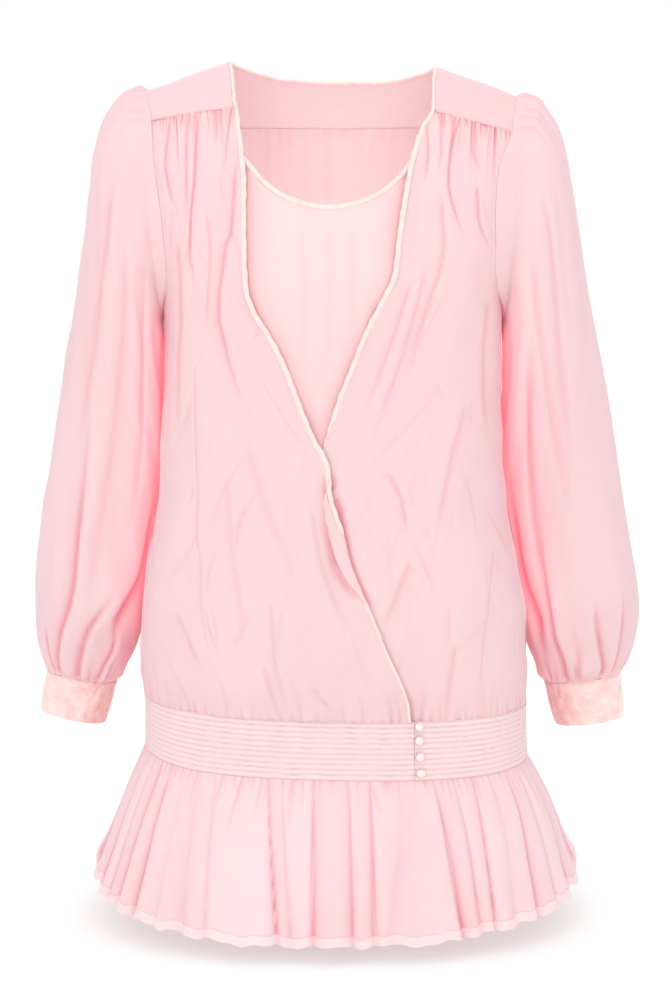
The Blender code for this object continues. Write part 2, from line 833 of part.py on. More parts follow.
def make_cuff(name, sizes, material):
    side = sizes["side"]
    names = ("outer_x", "outer_z", "inner_x", "inner_z")
    outer_rows, inner_rows = [], []
    for part in spaced(3):
        place = {name: mix(sizes["top_" + name], sizes["end_" + name], part) for name in names}
        outer = Vector((side * place["outer_x"], 0, place["outer_z"]))
        inner = Vector((side * place["inner_x"], 0, place["inner_z"]))
        axis = (outer - inner).normalized()
        down = axis.cross(Vector((0, 1, 0)))
        down = down if down.z < 0 else -down
        seam = down * GAP * (1 - part)
        swell = CUFF_SWELL * math.sin(math.pi * part)
        half = mix(CUFF_HALF_DEPTH, CUFF_END_HALF_DEPTH, part)
        rings = []
        for wall in (swell, -CUFF_WALL):
            ring = []
            for k in range(CUFF_POINTS):
                angle = 2 * math.pi * k / CUFF_POINTS
                near, far = outer + axis * wall, inner - axis * wall
                ring.append(oval(near, far, half + wall, CUFF_CENTRE_Y, angle, SLEEVE_POWER) + seam)
            rings.append(ring)
        outer_rows.append(rings[0])
        inner_rows.append(rings[1])
    return make_wall(name, outer_rows, inner_rows, material, closed=True)


# ---------------------------------------------------------------- hip band, buttons, ruffle
def seam_side(turn):
    """Which way a piece stands off the side seams."""
    return Vector((0, -GAP / 2 if math.cos(turn) > 0 else GAP / 2, 0))


def tuck_profile():
    """Share of the band's height and relief, top to bottom: an edge roll, the tucks, an edge roll."""
    profile = [(0.0, LEAST_RELIEF)]
    for tuck in range(TUCKS):
        top, low = tuck / TUCKS, (tuck + 1) / TUCKS
        proud = EDGE_TUCK_PROUD if tuck in (0, TUCKS - 1) else TUCK_PROUD
        profile.append((mix(top, low, 0.72), proud))
        profile.append((mix(top, low, 0.97), LEAST_RELIEF / 2))
    profile[-1] = (1.0, LEAST_RELIEF)
    return profile


def make_band(name, start, end, count, material):
    middle = (start + end) / 2
    shift = seam_side(middle)

    def place(turn, share, out):
        height = mix(BAND_TOP, BAND_BOTTOM, share)
        x = body_point(turn, height).x
        height = mix(band_top(x), band_bottom(x), share)
        return body_point(turn, height) + body_normal(turn, height) * out + shift

    turns = spaced(count, start, end)
    outer = [[place(turn, share, out) for turn in turns] for share, out in tuck_profile()]
    inner = [[place(turn, share, -BAND_WALL) for turn in turns] for share in (0.0, 0.5, 1.0)]
    return make_wall(name, outer, inner, material)


def make_button(name, x, height, proud, material):
    turn = turn_of(x, height)
    normal = body_normal(turn, height)
    centre = body_point(turn, height) + normal * (proud + GAP + BUTTON_HEIGHT / 2)
    mesh = bpy.data.meshes.new(name)
    shape = bmesh.new()
    bmesh.ops.create_uvsphere(shape, u_segments=10, v_segments=6, radius=BUTTON_RADIUS)
    bmesh.ops.scale(shape, vec=(1, 1, BUTTON_HEIGHT / 2 / BUTTON_RADIUS), verts=shape.verts[:])
    bmesh.ops.triangulate(shape, faces=shape.faces[:])
    shape.to_mesh(mesh)
    shape.free()
    mesh.shade_smooth()
    made = bpy.data.objects.new(name, mesh)
    made.rotation_mode = "QUATERNION"
    made.rotation_quaternion = normal.to_track_quat("Z", "Y")
    made.location = centre
    made.data.materials.append(material)
    GARMENT.objects.link(made)


def hem_point(turn):
    half = HEM_SECTION["right" if math.sin(turn) > 0 else "left"]
    depth = HEM_SECTION["front" if math.cos(turn) > 0 else "back"]
    x = half * signed_power(math.sin(turn), 2 / BODY_POWER)
    y = -depth * signed_power(math.cos(turn), 2 / BODY_POWER)
    return Vector((x, y, HEM + HEM_LIFT * math.sin(turn) ** 2))


def ruffle_point(turn, part):
    start = body_point(turn, BAND_BOTTOM)
    start = body_point(turn, band_bottom(start.x) - GAP)
    end = hem_point(turn)
    point = start.lerp(end, part)
    belly = mix(*RUFFLE_BELLY, 0.5 + 0.5 * math.sin(turn)) * math.sin(math.pi * part) * (1 - part)
    return point + Vector((math.sin(turn), -math.cos(turn), 0)) * belly


def ruffle_normal(turn, part):
    core = Vector((0.0, 0.0, ruffle_point(turn, part).z))
    return surface_normal(ruffle_point, turn, min(0.999, max(0.001, part)), core)


def ruffle_wave(turn, part):
    """The wave's push along the normal, which grows to the hem and is uneven from fold to fold."""
    share = turn / math.pi
    size = mix(0.0012, 0.0085, ease(-0.15, 1.0, part)) * (1 + 0.28 * math.sin(7.3 * turn + 0.8))
    lag = 0.35 * math.sin(3.1 * turn) + 0.20 * math.sin(8.7 * turn + 1.0)
    return size * math.sin(2 * math.pi * RUFFLE_WAVES * share + lag)


def make_ruffle(name, start, end, material):
    shift = seam_side((start + end) / 2)
    outer_rows, inner_rows = [], []
    for part in (0.0, 0.2, 0.6, 1.0):
        outer, inner = [], []
        for turn in spaced(4 * RUFFLE_WAVES + 1, start, end):
            flat_normal = ruffle_normal(turn, part)
            level = Vector((flat_normal.x, flat_normal.y, 0)).normalized()
            base = ruffle_point(turn, part) + shift
            wave = ruffle_wave(turn, part)
            outer.append(base + level * wave)
            inner.append(base + level * (wave - RUFFLE_WALL))
        outer_rows.append(outer)
        inner_rows.append(inner)
    return make_wall(name, outer_rows, inner_rows, material)


# ---------------------------------------------------------------- the garment
def clear_scene():
    for item in list(bpy.data.objects):
        bpy.data.objects.remove(item, do_unlink=True)


def make_material(name, colour, roughness):
    material = bpy.data.materials.new(name)
    material.use_nodes = True
    shader = material.node_tree.nodes["Principled BSDF"]
    shader.inputs["Base Color"].default_value = (*colour, 1.0)
    shader.inputs["Roughness"].default_value = roughness
    shader.inputs["Metallic"].default_value = 0.0
    return material


def make_fronts(chiffon, satin):
    outer, inner, over_border = front_rows(-1, OVER_EDGE, over_relief, wrap_lift)
    make_wall("front_over", outer, inner, chiffon)
    outer, inner, under_border = front_rows(1, UNDER_EDGE, under_relief, no_lift)
    make_wall("front_under", outer, inner, chiffon)
    outer, inner, neck = yoke_rows()
    make_wall("yoke", outer, inner, chiffon)
    make_binding("neck_binding", joined(joined(over_border[::-1], neck), under_border), -1, satin)


def make_insert(chiffon, satin):
    outer, inner, border = insert_rows()
    make_wall("insert", outer, inner, chiffon)
    make_binding("insert_binding", border, 1, satin)


def build():
    looks = {name: make_material(name, *values) for name, values in COLOURS.items()}
    make_fronts(looks["chiffon"], looks["binding_satin"])
    outer, inner = back_rows()
    make_wall("back", outer, inner, looks["chiffon"])
    make_insert(looks["insert_chiffon"], looks["binding_satin"])
    for name, table, side in (("sleeve_left", LEFT_SLEEVE, -1), ("sleeve_right", RIGHT_SLEEVE, 1)):
        make_sleeve_half(name + "_front", table, side, 0.0, looks["chiffon"])
        make_sleeve_half(name + "_back", table, side, math.pi, looks["chiffon"])
    for name, row in zip(("cuff_left", "cuff_right"), CUFFS[1]):
        make_cuff(name, dict(zip(CUFFS[0], row)), looks["cuff_satin"])
    right_angle = math.pi / 2
    opening = turn_of(OPENING_X, BAND_TOP)
    slit = GAP / OPENING_RADIUS
    make_band("band_front_over", -right_angle, opening - slit, 17, looks["band_chiffon"])
    make_band("band_front_under", opening + slit, right_angle, 9, looks["band_chiffon"])
    make_band("band_back", right_angle, 3 * right_angle, 19, looks["band_chiffon"])
    for number, row in enumerate(BUTTONS[1], 1):
        make_button("button_" + str(number), *row, looks["button_satin"])
    make_ruffle("ruffle_front", -right_angle, right_angle, looks["chiffon"])
    make_ruffle("ruffle_back", right_angle, 3 * right_angle, looks["chiffon"])


clear_scene()
GARMENT = bpy.data.collections.new("wrap_front_tunic")
bpy.context.scene.collection.children.link(GARMENT)
build()
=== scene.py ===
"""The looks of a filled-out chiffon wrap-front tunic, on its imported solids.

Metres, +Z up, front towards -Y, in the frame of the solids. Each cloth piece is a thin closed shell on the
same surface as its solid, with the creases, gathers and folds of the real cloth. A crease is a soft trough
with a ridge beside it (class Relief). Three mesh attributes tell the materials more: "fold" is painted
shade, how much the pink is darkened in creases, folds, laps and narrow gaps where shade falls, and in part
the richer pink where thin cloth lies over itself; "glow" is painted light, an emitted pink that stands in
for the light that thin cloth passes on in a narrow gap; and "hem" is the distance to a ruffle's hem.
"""

import math

import bpy
import numpy as np
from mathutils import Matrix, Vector


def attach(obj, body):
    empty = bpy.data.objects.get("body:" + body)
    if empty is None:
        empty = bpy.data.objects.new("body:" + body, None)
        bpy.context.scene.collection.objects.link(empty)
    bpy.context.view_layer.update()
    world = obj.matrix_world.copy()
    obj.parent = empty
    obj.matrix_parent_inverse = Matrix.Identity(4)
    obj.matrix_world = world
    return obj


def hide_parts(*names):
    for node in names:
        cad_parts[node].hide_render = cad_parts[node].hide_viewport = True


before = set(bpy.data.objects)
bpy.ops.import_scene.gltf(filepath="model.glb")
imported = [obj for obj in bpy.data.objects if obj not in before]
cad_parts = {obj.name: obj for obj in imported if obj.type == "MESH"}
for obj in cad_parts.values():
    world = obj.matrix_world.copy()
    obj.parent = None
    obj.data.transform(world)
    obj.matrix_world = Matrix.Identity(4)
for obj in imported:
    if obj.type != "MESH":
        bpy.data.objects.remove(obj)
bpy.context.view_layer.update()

# ---------------------------------------------------------------- sizes of the solids, in metres
GAP = 0.0004
BODY_POWER = 2.3  # how square the body's cross-section is: 2 is an ellipse
SLEEVE_POWER = 2.15
UNDERARM = -0.240
SHOULDER_START = -0.150  # height above which front and back curve over to the shoulder line
BAND_TOP = -0.634
BAND_BOTTOM = -0.6905
BAND_LEAN = 0.022
HEM = -0.832
HEM_LIFT = 0.016
BINDING_WIDTH = 0.0050
WRAP_LIFT = 0.0026
LAP_START = (-0.375, -0.325)  # the heights and the places across between which the lap's lift begins
LAP_SIDE = (-0.150, -0.100)
INSERT_SINK = 0.0026
RUFFLE_BELLY = (0.004, 0.010)
TUCKS = 11
SCOOP_RADIUS = 0.0955
SCOOP_CENTRE = (-0.0035, -0.0525)
SCOOP_ROUND = 0.075
INSERT_OVERLAP = 0.012
INSERT_TOP = -0.085
INSERT_BOTTOM = -0.400
OPENING_X = 0.0778
OPENING_GAP = 0.0027  # in turn, half of what parts the two front bands
BUTTON_RADIUS = 0.0042
BACK_SEAM = -0.060
YOKE_TURN = 0.24
PLACE_ROUNDS = 4
THIN = 0.0005  # a cloth shell's thickness
MM = 0.001
STEP = 0.001  # how far apart two points are from which a slope is worked out


# ---------------------------------------------------------------- reading tables
def smooth_read(places, values, place):
    """Values at places on a curve through the table that never overshoots between two rows."""
    places, values = np.asarray(places, float), np.asarray(values, float)
    if places[0] > places[-1]:
        places, values = places[::-1], values[::-1]
    steps = np.diff(places)
    rises = np.diff(values) / steps
    product = rises[:-1] * rises[1:]
    total = np.where(product > 0, rises[:-1] + rises[1:], 1.0)
    inner = np.where(product > 0, 2 * product / total, 0.0)
    slopes = np.concatenate([rises[:1], inner, rises[-1:]])
    place = np.clip(place, places[0], places[-1])
    row = np.clip(np.searchsorted(places, place, side="right") - 1, 0, len(steps) - 1)
    span = steps[row]
    part = (place - places[row]) / span
    return (
        values[row] * (1 + 2 * part) * (1 - part) ** 2
        + slopes[row] * span * part * (1 - part) ** 2
        + values[row + 1] * part**2 * (3 - 2 * part)
        + slopes[row + 1] * span * part**2 * (part - 1)
    )


class Table:
    """Rows of numbers under named columns, read on smooth curves between the rows."""

    def __init__(self, names, rows):
        self.columns = dict(zip(names, np.array(rows, float).T))
        self.places = self.columns[names[0]]

    def read(self, name, place):
        return smooth_read(self.places, self.columns[name], place)

    def read_row(self, name, row):
        return smooth_read(np.arange(len(self.places)), self.columns[name], row)


def ease(start, end, value):
    """0 before start, 1 after end, smooth between."""
    part = np.clip((value - start) / (end - start), 0.0, 1.0)
    return part * part * (3 - 2 * part)


def mix(first, second, part):
    return first + (second - first) * part


def signed_power(value, power):
    return np.sign(value) * np.abs(value) ** power


def bell(distance):
    """1 at 0, falling away smoothly on both sides."""
    return np.exp(-(distance**2))


def unit(vectors):
    return vectors / np.linalg.norm(vectors, axis=-1, keepdims=True)


def facing(normals, away):
    """Normals, each turned to the side of away."""
    return np.where((np.sum(normals * away, axis=-1) > 0)[..., None], normals, -normals)


# ---------------------------------------------------------------- section tables, top to bottom
BODY = Table(("height", "left", "right", "front", "back"), [
    (0.040, 0.232, 0.232, 0.072, 0.104), (-0.030, 0.224, 0.224, 0.076, 0.104),
    (-0.083, 0.208, 0.208, 0.083, 0.102), (-0.1355, 0.191, 0.191, 0.092, 0.099),
    (-0.189, 0.179, 0.179, 0.102, 0.096), (-0.240, 0.1675, 0.1670, 0.110, 0.092),
    (-0.330, 0.1690, 0.1680, 0.108, 0.089), (-0.420, 0.1735, 0.1730, 0.110, 0.093),
    (-0.500, 0.1880, 0.1870, 0.118, 0.104), (-0.555, 0.1920, 0.1950, 0.126, 0.112),
    (-0.600, 0.1940, 0.1950, 0.127, 0.114), (-0.634, 0.1890, 0.1945, 0.122, 0.111),
    (-0.700, 0.1895, 0.1965, 0.122, 0.111),
])
ARMHOLE = Table(("height", "left", "right"), [
    (0.040, 0.1840, 0.1840), (-0.030, 0.1820, 0.1815), (-0.060, 0.1760, 0.1750), (-0.072, 0.1750, 0.1730),
    (-0.090, 0.1735, 0.1655), (-0.110, 0.1715, 0.1590), (-0.150, 0.1660, 0.1560), (-0.184, 0.1630, 0.1570),
])
ARMHOLE_MIDDLE = -0.184
ARMHOLE_POWER = 1.8
SHOULDER_LINE = Table(("x", "height"), [
    (-0.230, -0.044), (-0.182, -0.028), (-0.140, -0.014), (-0.098, 0.001), (-0.057, 0.014),
    (0.000, 0.028), (0.057, 0.010), (0.098, -0.004), (0.140, -0.019), (0.182, -0.034),
    (0.230, -0.050),
])
OVER_EDGE = Table(("height", "x"), [
    (0.001, -0.0983), (-0.050, -0.0910), (-0.097, -0.0850), (-0.123, -0.0823), (-0.188, -0.0820),
    (-0.223, -0.0800), (-0.248, -0.0710), (-0.267, -0.0590), (-0.299, -0.0430), (-0.335, -0.0290),
    (-0.364, -0.0170), (-0.393, -0.0030), (-0.417, -0.0010), (-0.4525, 0.0100), (-0.477, 0.0150),
    (-0.503, 0.0245), (-0.531, 0.0370), (-0.571, 0.0530), (-0.594, 0.0635), (-0.6175, 0.0720),
    (-0.640, 0.0745),
])
UNDER_EDGE = Table(("height", "x"), [
    (-0.005, 0.0980), (-0.053, 0.0930), (-0.071, 0.0830), (-0.093, 0.0760), (-0.123, 0.0690),
    (-0.167, 0.0620), (-0.208, 0.0570), (-0.239, 0.0430), (-0.264, 0.0300), (-0.298, 0.0166),
    (-0.326, 0.0050), (-0.3575, -0.0050), (-0.385, -0.0120), (-0.430, -0.0300), (-0.500, -0.0520),
    (-0.570, -0.0660), (-0.640, -0.0720),
])
NECK_BORDER = Table(("x", "over"), [
    (-0.0960, -0.541), (-0.0990, -0.350), (-0.1018, -0.170), (-0.1033, 0.000), (-0.1000, 0.110),
    (-0.0905, 0.210), (-0.0750, 0.300), (-0.0500, 0.385), (0.0000, 0.455), (0.0500, 0.385),
    (0.0750, 0.300), (0.0905, 0.210), (0.1000, 0.110), (0.1030, 0.000), (0.1015, -0.170),
    (0.0995, -0.350), (0.0985, -0.539),
])
LEFT_YOKE_CORNER = (-0.1760, -0.484)
RIGHT_YOKE_CORNER = (0.1730, -0.548)
# the sleeves' sections: their depth and its centre, the inner line's upper part, and for each side the outer
# line and the rest of the inner one, as x and height
SLEEVE_DEPTHS = (
    (0.051, 0.002), (0.055, 0.003), (0.058, 0.004), (0.061, 0.006), (0.063, 0.008), (0.064, 0.010),
    (0.063, 0.013), (0.061, 0.017), (0.059, 0.022), (0.058, 0.027), (0.058, 0.031), (0.060, 0.034),
    (0.062, 0.036), (0.062, 0.036), (0.058, 0.036), (0.050, 0.036), (0.041, 0.035), (0.034, 0.034),
)
UPPER_INNER_LINE = (
    (0.1698, -0.2530), (0.1700, -0.2640), (0.1702, -0.2760), (0.1703, -0.2880), (0.1704, -0.3010),
    (0.1705, -0.3190), (0.1706, -0.3450), (0.1712, -0.3720), (0.1722, -0.4020), (0.1752, -0.4370),
    (0.1800, -0.4680), (0.1855, -0.5020),
)


def sleeve_table(outer_line, lower_inner_line):
    inner_line = UPPER_INNER_LINE + lower_inner_line
    rows = [(*outer, *inner, *depth) for outer, inner, depth in zip(outer_line, inner_line, SLEEVE_DEPTHS)]
    return Table(("outer_x", "outer_z", "inner_x", "inner_z", "half_depth", "centre_y"), rows)


LEFT_SLEEVE = sleeve_table(
    (
        (0.1900, -0.0262), (0.2030, -0.0302), (0.2170, -0.0446), (0.2277, -0.0610), (0.2345, -0.0800),
        (0.2396, -0.1160), (0.2473, -0.1715), (0.2571, -0.2270), (0.2665, -0.2830), (0.2770, -0.3400),
        (0.2857, -0.3890), (0.2940, -0.4400), (0.3000, -0.4845), (0.3040, -0.5230), (0.3050, -0.5530),
        (0.3030, -0.5800), (0.2976, -0.6000), (0.2938, -0.6100),
    ),
    (
        (0.1890, -0.5320), (0.1925, -0.5560), (0.2005, -0.5780), (0.2105, -0.6010), (0.2195, -0.6180),
        (0.2238, -0.6226),
    ),
)
RIGHT_SLEEVE = sleeve_table(
    (
        (0.1885, -0.0318), (0.1995, -0.0340), (0.2112, -0.0470), (0.2199, -0.0600), (0.2271, -0.0785),
        (0.2345, -0.1120), (0.2440, -0.1600), (0.2535, -0.2150), (0.2650, -0.2750), (0.2768, -0.3340),
        (0.2865, -0.3870), (0.2960, -0.4400), (0.3055, -0.4890), (0.3115, -0.5230), (0.3133, -0.5480),
        (0.3105, -0.5740), (0.3035, -0.5980), (0.2958, -0.6122),
    ),
    (
        (0.1915, -0.5300), (0.1950, -0.5520), (0.1975, -0.5750), (0.2065, -0.5990), (0.2135, -0.6160),
        (0.2182, -0.6226),
    ),
)
CUFF_COLUMNS = ("outer_x", "outer_z", "inner_x", "inner_z", "half_depth")
LEFT_CUFF = Table(CUFF_COLUMNS, [
    (0.2933, -0.6106, 0.2235, -0.6232, 0.0335), (0.3011, -0.6514, 0.2353, -0.6655, 0.0315),
])
RIGHT_CUFF = Table(CUFF_COLUMNS, [
    (0.2952, -0.6127, 0.2181, -0.6232, 0.0335), (0.2990, -0.6580, 0.2299, -0.6670, 0.0315),
])
CUFF_CENTRE_Y = 0.034
CUFF_RADIUS = 0.034  # of a circle about as long round as a cuff
CUFF_HEIGHT = 0.042
HEM_SECTION = {"left": 0.2405, "right": 0.2470, "front": 0.192, "back": 0.182}
BUTTONS = ((0.0818, -0.6390), (0.0820, -0.6527), (0.0828, -0.6690), (0.0838, -0.6850))

# ---------------------------------------------------------------- creases, listed one by one
# each front crease: width, depth, which side its ridge is on (-1 left, 1 right, 0 both), and its
# points from top to bottom as x and height, all in millimetres
OVER_CREASES = (
    (1.5, 2.0, -1, ((-130, -48), (-131, -87), (-132, -117), (-136, -164), (-137, -191), (-135, -204),
                    (-132, -240))),
    (1.5, 1.5, 1, ((-138, -50), (-139, -72), (-140, -109), (-140, -128), (-136, -162))),
    (1.8, 1.6, -1, ((-156, -48), (-158, -64), (-161, -101), (-157, -131), (-144, -160))),
    (1.4, 1.6, 1, ((-112, -44), (-112, -56), (-111, -73), (-114, -90))),
    (2.4, 1.7, 1, ((-92, -100), (-93, -117), (-95, -146), (-97, -170), (-102, -184), (-104, -206),
                   (-107, -226), (-108, -250), (-104, -270), (-100, -290), (-91, -316), (-80, -338),
                   (-66, -356))),
    (2.2, 0.9, -1, ((-120, -150), (-117, -190), (-119, -230), (-122, -275))),
    (1.2, 0.9, -1, ((-133, -290), (-133, -351), (-132, -381), (-130, -421), (-132, -452), (-128, -487),
                    (-126, -530), (-120, -565), (-116, -617))),
    (1.6, 0.9, 1, ((-59, -516), (-54, -578), (-51, -593), (-44, -620), (-41, -640))),
    (1.8, 1.0, -1, ((-67, -580), (-60, -600), (-54, -620), (-50, -640))),
    (2.6, 0.8, 1, ((-152, -534), (-138, -562), (-124, -592))),
    (1.6, 1.0, 1, ((-20, -598), (-9, -612), (-1, -622), (2, -640))),
    (2.6, 1.0, 0, ((-150, -170), (-147, -230), (-150, -300), (-152, -380))),
    (5.0, 0.4, 0, ((-82, -370), (-66, -420), (-48, -470), (-30, -520))),
    (4.0, 0.5, 1, ((-100, -400), (-96, -460), (-86, -530), (-78, -600))),
    (3.0, 0.8, -1, ((-20, -430), (-14, -470), (2, -520), (22, -560))),
)
UNDER_CREASES = (
    (1.5, 1.9, 1, ((124, -52), (120, -65), (114, -84), (110, -123), (118, -156), (131, -186))),
    (1.6, 1.4, -1, ((137, -55), (136, -66), (134, -90), (146, -120))),
    (1.6, 1.6, 1, ((137, -124), (138, -135), (140, -158), (156, -192))),
    (1.4, 1.5, 1, ((92, -52), (90, -65), (91, -92), (86, -128))),
    (1.4, 1.2, -1, ((104, -50), (103, -61), (103, -92), (97, -120))),
    (2.8, 1.1, 1, ((102, -130), (103, -144), (105, -181), (101, -210), (94, -228), (82, -267), (70, -318))),
    (2.4, 0.9, -1, ((88, -200), (80, -236), (64, -290), (46, -340), (30, -380))),
    (2.6, 1.0, 1, ((74, -215), (60, -260), (44, -305), (27, -350))),
    (1.3, 0.9, 1, ((158, -470), (156, -485), (148, -549), (140, -634))),
    (3.4, 1.0, -1, ((74, -480), (58, -520), (46, -548))),
    (3.0, 0.9, 0, ((150, -230), (146, -300), (150, -380))),
    (3.4, 0.9, 1, ((118, -560), (112, -600), (106, -640))),
    (3.4, 0.9, -1, ((128, -330), (110, -400), (96, -470))),
    (2.6, 1.0, 1, ((52, -395), (66, -425), (72, -460))),
)
# beside the turned-back stretch of the over front, as x and height in millimetres: the shadow that its free
# edge throws, and the line along its fold
FREE_EDGE = ((-9, -396), (-8, -411), (-7, -452), (-5, -463), (-1, -483), (9, -501), (19, -512), (31, -519))
FOLD_SHADOW = ((-5, -395), (-1, -411), (7, -432), (11, -452), (16, -477), (25, -503), (37, -524))

# each sleeve fold: width and depth in millimetres, the ridge's side (-1 outwards, 1 inwards), how dark,
# and its points as row and place across, which is 1 at the sleeve's outer line and -1 at its inner line
LEFT_SLEEVE_FOLDS = (
    (4.0, 3.4, 1, 1.0, ((9.0, 0.36), (11.7, 0.25), (13.0, 0.23), (14.1, 0.28), (15.2, 0.38), (16.6, 0.48),
                        (18.2, 0.50))),
    (3.2, 4.2, 1, 1.0, ((12.8, -0.50), (13.4, -0.43), (14.0, -0.28), (15.0, -0.12), (15.9, -0.06),
                        (16.7, -0.04), (18.2, -0.02))),
    (2.6, 3.0, 1, 1.0, ((14.0, -0.50), (14.6, -0.60), (15.3, -0.65), (16.4, -0.57), (18.2, -0.50))),
    (7.0, 7.0, -1, 1.3, ((9.5, -0.93), (11.3, -0.91), (12.2, -0.88), (12.9, -0.80), (13.6, -0.68),
                         (14.2, -0.60), (15.4, -0.66))),
    (2.6, 2.2, -1, 0.9, ((14.6, 0.72), (15.6, 0.70), (16.6, 0.68), (18.2, 0.68))),
    (7.0, 1.8, 1, 0.5, ((2.5, 0.45), (5.0, 0.40), (8.0, 0.42), (11.0, 0.50))),
    (6.0, 1.6, -1, 0.5, ((3.5, 0.05), (6.0, -0.10), (9.0, -0.12), (12.0, -0.10), (14.0, 0.0))),
    (6.0, 1.6, 1, 0.6, ((1.5, -0.35), (4.0, -0.55), (8.0, -0.62), (12.0, -0.55))),
)
RIGHT_SLEEVE_FOLDS = (
    (3.4, 3.8, -1, 1.0, ((11.0, -0.60), (13.0, -0.62), (14.3, -0.60), (15.6, -0.56), (16.7, -0.52),
                         (18.2, -0.50))),
    (2.4, 2.2, -1, 0.9, ((16.0, -0.30), (17.2, -0.26), (18.2, -0.25))),
    (2.8, 3.6, 1, 1.0, ((13.6, 0.16), (14.4, 0.14), (15.9, 0.20), (17.0, 0.32), (18.2, 0.34))),
    (3.0, 2.4, 1, 0.7, ((13.6, 0.66), (14.9, 0.62), (16.2, 0.60), (18.2, 0.62))),
    (7.0, 6.5, 1, 1.3, ((8.5, -0.93), (11.0, -0.92), (12.5, -0.91), (13.5, -0.86), (14.6, -0.80),
                        (16.4, -0.78))),
    (8.0, 2.2, 1, 0.8, ((6.0, -0.45), (9.0, -0.55), (12.0, -0.62), (14.0, -0.62))),
    (7.0, 1.6, -1, 0.5, ((2.5, 0.30), (5.0, 0.30), (8.0, 0.20), (11.0, 0.10))),
    (6.0, 1.5, 1, 0.5, ((3.0, -0.20), (6.0, -0.20), (9.0, -0.10), (12.0, 0.0))),
)

# each line where the front ruffle folds in: its turn in degrees at the band and at the hem, how deep it
# is, and the side of its shadow, -1 left, 1 right and 0 both, softly
RUFFLE_FOLDS = (
    (-83, -85, 0.9, -1), (-73, -73, 0.8, -1), (-66, -66, 0.7, 1), (-60, -59, 1.2, -1), (-53, -51, 1.3, -1),
    (-46, -43, 0.4, 0), (-40, -34, 0.7, 0), (-33, -27, 0.5, -1), (-16, -10, 1.4, 1), (-12, -7, 0.6, -1),
    (-4, -3, 1.3, 1), (3, 3, 1.0, -1), (8, 7, 1.2, -1), (18, 10, 0.8, 0), (26, 27, 1.6, 1),
    (33, 32, 0.8, -1), (40, 36, 1.1, -1), (49, 43, 0.6, 0), (57, 51, 1.1, 1), (65, 61, 0.7, -1),
    (74, 71, 0.9, 1), (83, 83, 0.8, 1),
)


# ---------------------------------------------------------------- surfaces, on whole arrays at once
def half_width(x, height):
    """Half the body's width, on the side that x is on."""
    return np.where(np.asarray(x) > 0, BODY.read("right", height), BODY.read("left", height))


def body_point(turn, height):
    """Points of the body. turn is 0 at the centre front, a right angle at the right side, pi at the back."""
    turn, height = np.broadcast_arrays(turn, height)
    depth = np.where(np.cos(turn) > 0, BODY.read("front", height), BODY.read("back", height))
    x = half_width(np.sin(turn), height) * signed_power(np.sin(turn), 2 / BODY_POWER)
    y = -depth * signed_power(np.cos(turn), 2 / BODY_POWER) * over_shoulder(x, height)
    return np.stack([x, y, height], axis=-1)


def over_shoulder(x, height):
    top = SHOULDER_LINE.read("height", x)
    share = np.clip((height - SHOULDER_START) / (top - SHOULDER_START), 0.0, 1.0)
    return np.sqrt(1 - share * share)


def turn_of(x, height):
    share = np.minimum(1.0, np.abs(x) / half_width(x, height))
    return np.sign(x) * np.arcsin(share ** (BODY_POWER / 2))


def yoke_point(x, over):
    """Points near the shoulder, by x and by how far over the shoulder they are, -1 in front to 1 behind."""
    x, over = np.broadcast_arrays(x, over)
    angle = (1 - np.abs(over)) * math.pi / 2
    top = SHOULDER_LINE.read("height", x)
    height = SHOULDER_START + (top - SHOULDER_START) * np.sin(angle)
    depth = np.where(over < 0, BODY.read("front", height), BODY.read("back", height))
    wide = np.minimum(1.0, np.abs(x) / half_width(x, height))
    y = np.sign(over) * depth * (1 - wide**BODY_POWER) ** (1 / BODY_POWER) * np.cos(angle)
    return np.stack([x, y, height], axis=-1)


def over_at(x, height):
    """The yoke coordinate of a height, on the back."""
    top = SHOULDER_LINE.read("height", x)
    share = np.minimum(1.0, (height - SHOULDER_START) / (top - SHOULDER_START))
    return 1 - np.arcsin(share) / (math.pi / 2)


BAND_HALF_WIDTH = 0.19
BAND_TOP_RISE = 0.0045  # how much higher the band's edges are at its left side
BAND_BOTTOM_RISE = 0.0090


def side_rise(x):
    """0 over most of the hip band, and up to 1 at its left side and 0.5 at its right."""
    return np.clip(np.abs(x) / BAND_HALF_WIDTH, 0, 1) ** 8 * np.where(np.asarray(x) < 0, 1.0, 0.5)


def band_top(x):
    return BAND_TOP - BAND_LEAN * x + BAND_TOP_RISE * side_rise(x)


def band_bottom(x):
    return BAND_BOTTOM - BAND_LEAN * x + BAND_BOTTOM_RISE * side_rise(x)


def front_seam(x):
    """Height of the yoke's front seam."""
    border_x, border_over = NECK_BORDER.columns["x"], NECK_BORDER.columns["over"]
    left = mix(border_over[0], LEFT_YOKE_CORNER[1], (x - border_x[0]) / (LEFT_YOKE_CORNER[0] - border_x[0]))
    right = mix(border_over[-1], RIGHT_YOKE_CORNER[1],
                (x - border_x[-1]) / (RIGHT_YOKE_CORNER[0] - border_x[-1]))
    return yoke_point(x, np.where(np.asarray(x) < 0, left, right))[..., 2]


def armhole_x(side, height):
    return side * ARMHOLE.read("right" if side > 0 else "left", height)


def side_turn(side, height):
    """How far round a body piece runs: to the armhole above the underarm, to the side seam below it."""
    beside = np.abs(turn_of(armhole_x(side, height), height))
    middle = math.cos(float(turn_of(armhole_x(side, ARMHOLE_MIDDLE), ARMHOLE_MIDDLE)))
    part = np.clip((ARMHOLE_MIDDLE - height) / (ARMHOLE_MIDDLE - UNDERARM), 0.0, 1.0)
    closing = (1 - part**ARMHOLE_POWER) ** (1 / ARMHOLE_POWER)
    below = np.arccos(middle * closing ** (BODY_POWER / 2))
    return np.where(np.asarray(height) >= ARMHOLE_MIDDLE, beside, below)


